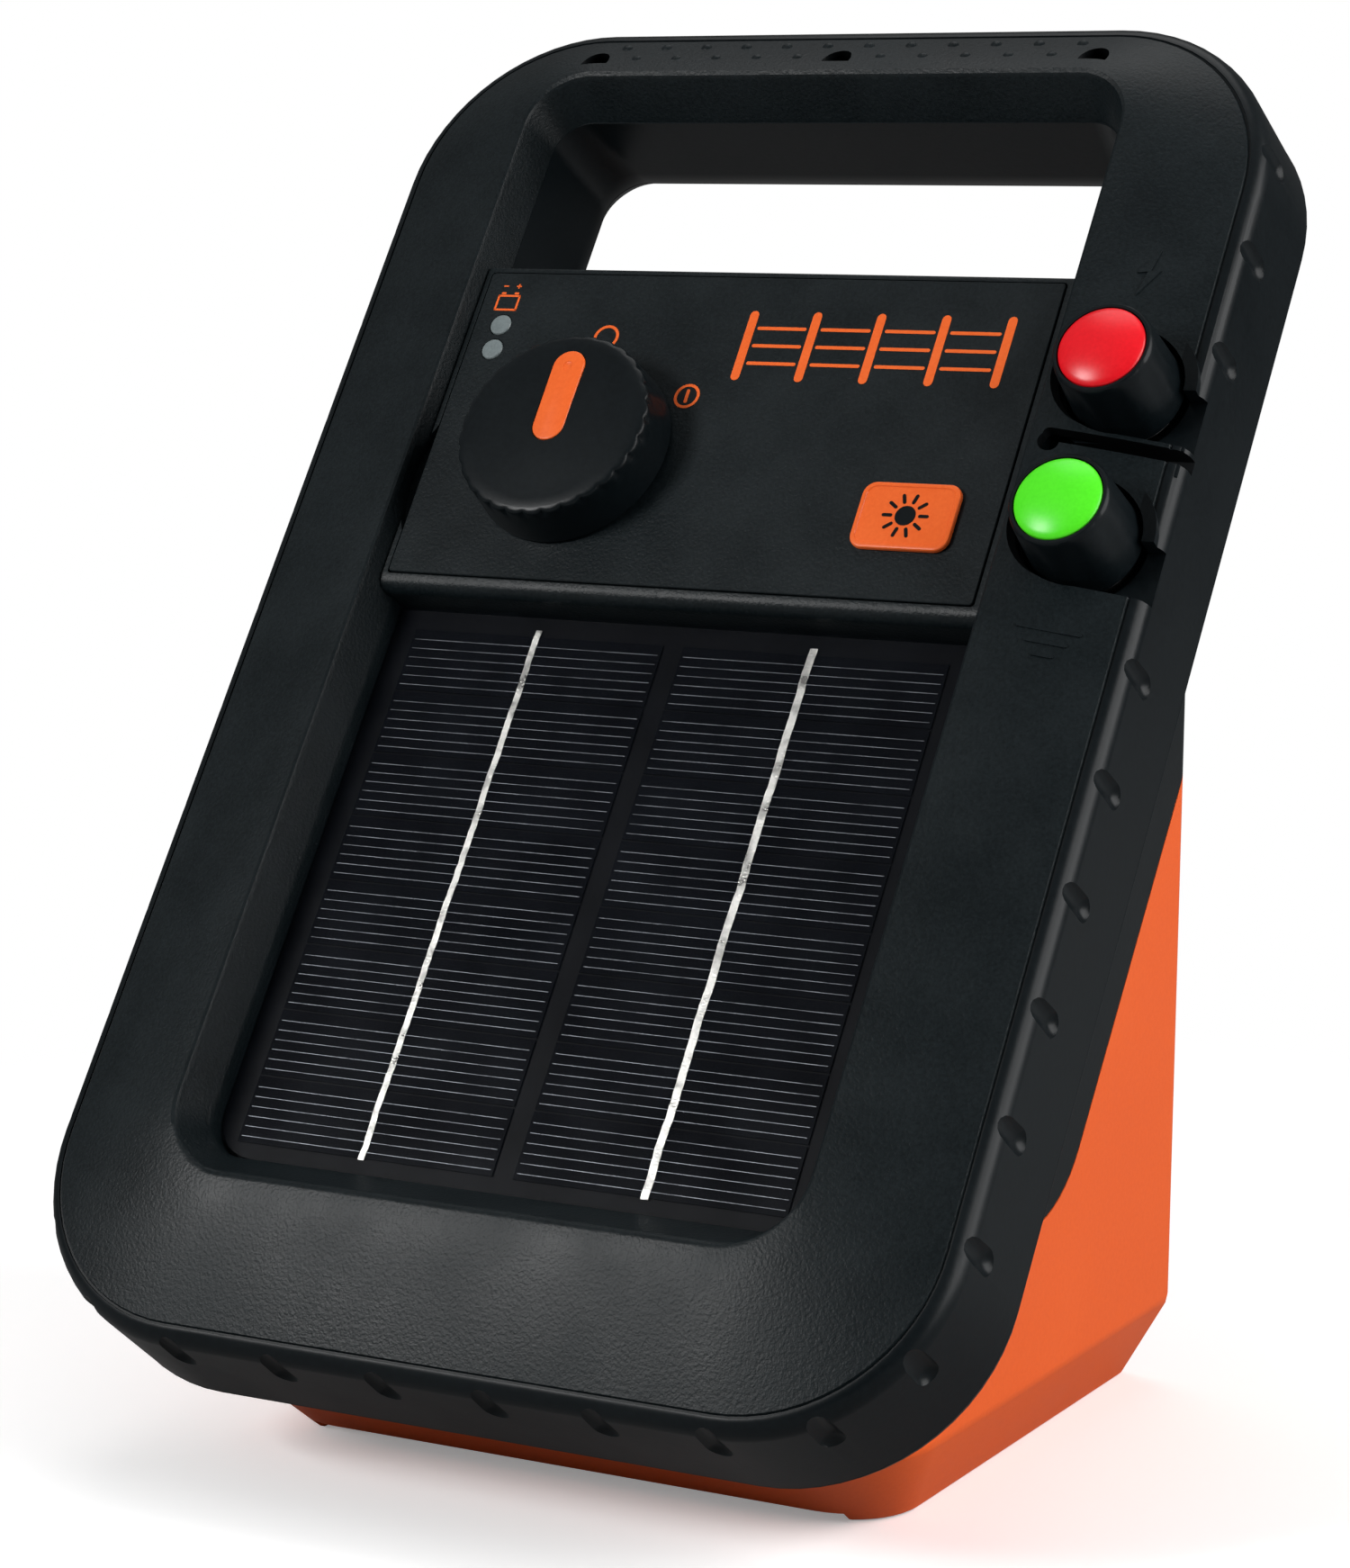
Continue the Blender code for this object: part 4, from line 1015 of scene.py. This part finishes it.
def terminal(looks, name, cap_slot):
    """One terminal: fluted knob, coloured cap, and the two plates that hold a wire."""
    u, v = TERMINALS[name]
    flutes = 8
    sides = 96

    def fluted(radius, depth, height):
        points = []
        for k in range(sides):
            angle = math.tau * k / sides
            r = radius - depth * 0.6 * (0.5 - 0.5 * math.cos(angle * flutes)) ** 1.5
            points.append((u + r * math.cos(angle), v + r * math.sin(angle), height))
        return points

    rings = (  # radius, depth of the flutes, height
        (3.4, 0.0, -6.8),
        (10.1, 0.0, -6.8),
        (10.6, 0.1, -6.2),
        (10.7, 0.3, -4.5),
        (10.4, 0.75, 0.0),
        (10.1, 0.75, 5.0),
        (9.85, 0.4, 8.6),
        (9.7, 0.1, 10.0),
        (9.5, 0.0, 10.55),
        (9.2, 0.0, 10.8),
        (8.7, 0.0, 10.78),
        (8.6, 0.0, 10.3),
        (8.6, 0.0, 9.0),
    )
    bore = stack(u, v, ((3.3, -8.0), (3.3, 7.0)), 32)
    bm = shaped(loft([fluted(*sizes) for sizes in rings]), *cuts(bore))
    body = name + "_clamp_knob"
    satin = [looks["black_satin"]]
    piece(f"{name}_knob_body", bm, satin, body, [f"{name}_knob"], sharp=34)
    edge = ((8.4, 9.3), (8.45, 10.5), (8.38, 10.8), (8.1, 11.08))
    dome = ((7.3, 11.45), (6.0, 11.9), (4.4, 12.27), (2.6, 12.5), (0.8, 12.6))
    cap = stack(u, v, (*edge, *dome), 64)
    piece(f"{name}_cap", cap, [looks[cap_slot]], body, [f"{name}_knob_cap"], sharp=40)
    steel = [looks["steel"]]
    clamp = washer(u, v, ((7.45, -7.1), (7.6, -7.25), (7.6, -8.15), (7.45, -8.3)))
    piece(f"{name}_washer", clamp, steel, name + "_clamp", [f"{name}_clamp_washer"])
    plate = washer(u, v, ((8.4, -8.8), (8.6, -9.0), (8.6, -9.7)))
    piece(f"{name}_plate", plate, steel, nodes=[f"{name}_contact_plate"])


def on_crown(outline, raised=0.35):
    """An outline as a thin raised shape that follows the border's slope."""
    return loft([[(x, y, crown_at(x, y) + lift) for x, y in outline] for lift in (-0.6, raised)])


def embossed(looks):
    """A bolt above the live terminal, an earth sign below the other, and the handle's grip dots."""
    u, v = 79.6, 274.0
    bolt = ((1.2, 5.2), (-2.1, -0.3), (-0.2, 0.2), (-1.3, -5.2), (2.1, 1.0), (0.2, 0.5))
    shapes = [on_crown([(u + x, v + y) for x, y in bolt])]
    earth_u = TERMINALS["earth"][0]
    for width, line in ((11.0, 197.6), (7.2, 195.0), (3.4, 192.4)):
        half = width / 2
        shapes.append(on_crown(bar((earth_u - half, line), (earth_u + half, line), 0.75)))
    dot_pitch = 9.3
    screw_row = (323.4, [k for k in range(-5, 6) if k])
    upper_row = (327.8, [k + 0.5 for k in range(-6, 6)])
    for row_v, columns in (screw_row, upper_row):
        for k in columns:
            x = dot_pitch * k
            base = crown_at(x, row_v)
            dot = ((1.25, -0.7), (1.2, 0.05), (0.95, 0.3), (0.5, 0.45), (0.1, 0.5))
            shapes.append(stack(x, row_v, [(radius, base + rise) for radius, rise in dot], 16))
    piece("embossed_signs", merged(*shapes), [looks["black_textured"]])


# ---------------------------------------------------------------- stage


def paint_cad_nodes(looks):
    """Gives every CAD node that still shows the material of its slot."""
    slots = {entry["node"]: entry["material_slot"] for entry in frame["record"]["subparts"]}
    for name, node in frame["nodes"].items():
        node.data.materials.clear()
        node.data.materials.append(looks[slots[name]])


def area_light(name, place, size, power, target=(0.0, 0.0, 0.12)):
    data = bpy.data.lights.new(name, "AREA")
    data.shape = "RECTANGLE"
    data.size, data.size_y = size, size
    data.energy = power
    light = bpy.data.objects.new(name, data)
    light.location = place
    light.rotation_euler = (Vector(target) - Vector(place)).to_track_quat("-Z", "Y").to_euler()
    bpy.context.scene.collection.objects.link(light)


def floor_material():
    """Pale floor: it takes soft shadows near the object and fades to plain white further out."""
    material, tree, near = graph_of("pale_floor")
    place = coordinates(tree)
    speckle = noise_node(tree, place, 400.0, 2.0)
    pale = ramp(tree, speckle, ((0.3, (1.55, 1.55, 1.55)), (0.7, (1.6, 1.6, 1.6))))
    tree.links.new(pale, near.inputs["Base Color"])
    near.inputs["Roughness"].default_value = 1.0
    near.inputs["Specular IOR Level"].default_value = 0.0
    dim = new_node(tree, "ShaderNodeBsdfDiffuse")  # what the object's underside is lit by
    dim.inputs["Color"].default_value = (0.32, 0.32, 0.32, 1.0)
    white = new_node(tree, "ShaderNodeEmission")
    distance = new_node(tree, "ShaderNodeVectorMath", operation="LENGTH")
    tree.links.new(place, distance.inputs[0])
    fade = spread(tree, distance.outputs["Value"], 0.25, 1.0, 0.10, 0.36)
    outward = new_node(tree, "ShaderNodeMixShader")
    tree.links.new(fade, outward.inputs["Fac"])
    tree.links.new(near.outputs["BSDF"], outward.inputs[1])
    tree.links.new(white.outputs["Emission"], outward.inputs[2])
    seen = new_node(tree, "ShaderNodeLightPath")
    final = new_node(tree, "ShaderNodeMixShader")
    tree.links.new(seen.outputs["Is Camera Ray"], final.inputs["Fac"])
    tree.links.new(dim.outputs["BSDF"], final.inputs[1])
    tree.links.new(outward.outputs["Shader"], final.inputs[2])
    tree.links.new(final.outputs["Shader"], tree.nodes["Material Output"].inputs["Surface"])
    return material


def studio_world():
    """White behind the object, and a soft dim room brighter overhead for its light."""
    world = bpy.data.worlds.new("studio")
    world.use_nodes = True
    tree = world.node_tree
    shader = tree.nodes["Background"]
    direction = new_node(tree, "ShaderNodeTexCoord")
    parts = new_node(tree, "ShaderNodeSeparateXYZ")
    tree.links.new(direction.outputs["Generated"], parts.inputs["Vector"])
    room = spread(tree, parts.outputs["Z"], 0.05, 0.22, 0.0, 0.85)
    seen = new_node(tree, "ShaderNodeLightPath")
    strength = new_node(tree, "ShaderNodeMix")
    tree.links.new(seen.outputs["Is Camera Ray"], strength.inputs["Factor"])
    tree.links.new(room, strength.inputs["A"])
    strength.inputs["B"].default_value = 1.0
    tree.links.new(strength.outputs["Result"], shader.inputs["Strength"])
    shader.inputs["Color"].default_value = (1.0, 1.0, 1.0, 1.0)
    return world


def stage():
    bm = bmesh.new()
    bmesh.ops.create_circle(bm, cap_ends=True, segments=96, radius=12.0)
    mesh = bpy.data.meshes.new("floor")
    bm.to_mesh(mesh)
    bm.free()
    floor = bpy.data.objects.new("floor", mesh)
    floor.location = (0.0, 0.0, -0.0002)
    bpy.context.scene.collection.objects.link(floor)
    mesh.materials.append(floor_material())
    bpy.context.scene.world = studio_world()
    bpy.context.scene.view_settings.view_transform = "Standard"
    area_light("key", (-0.66, -1.05, 0.72), 0.4, 11.5)
    area_light("side", (1.3, 0.1, 0.6), 1.2, 20.0)
    area_light("top", (-0.2, 0.4, 1.5), 0.9, 4.0)


def camera():
    azimuth, elevation, roll = math.radians(29.2), math.radians(9.14), math.radians(-0.22)
    away, rise = math.cos(elevation), math.sin(elevation)
    back = Vector((math.sin(azimuth) * away, -math.cos(azimuth) * away, rise))
    right = Vector((math.cos(azimuth), math.sin(azimuth), 0.0))
    up = back.cross(right)
    turn = Matrix((right, up, back)).transposed().to_4x4() @ Matrix.Rotation(roll, 4, "Z")
    place = (0.3883, -0.5745 - SHIFT_Y / 1000, 0.2537)
    data = bpy.data.cameras.new("camera")
    data.sensor_fit = "VERTICAL"
    data.sensor_height = 36.0
    data.lens = 96.8
    data.clip_start = 0.05
    obj = bpy.data.objects.new("camera", data)
    obj.matrix_world = Matrix.Translation(place) @ turn
    bpy.context.scene.collection.objects.link(obj)
    bpy.context.scene.camera = obj


def main():
    looks = make_materials()
    paint_cad_nodes(looks)
    front_bezel(looks)
    rear_shell(looks)
    base_housing(looks)
    fascia(looks)
    marks(looks)
    badge(looks)
    knob(looks)
    lenses(looks)
    solar_panel(looks)
    terminal(looks, "live", "live_red")
    terminal(looks, "earth", "earth_green")
    embossed(looks)
    stage()
    camera()
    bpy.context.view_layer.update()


main()
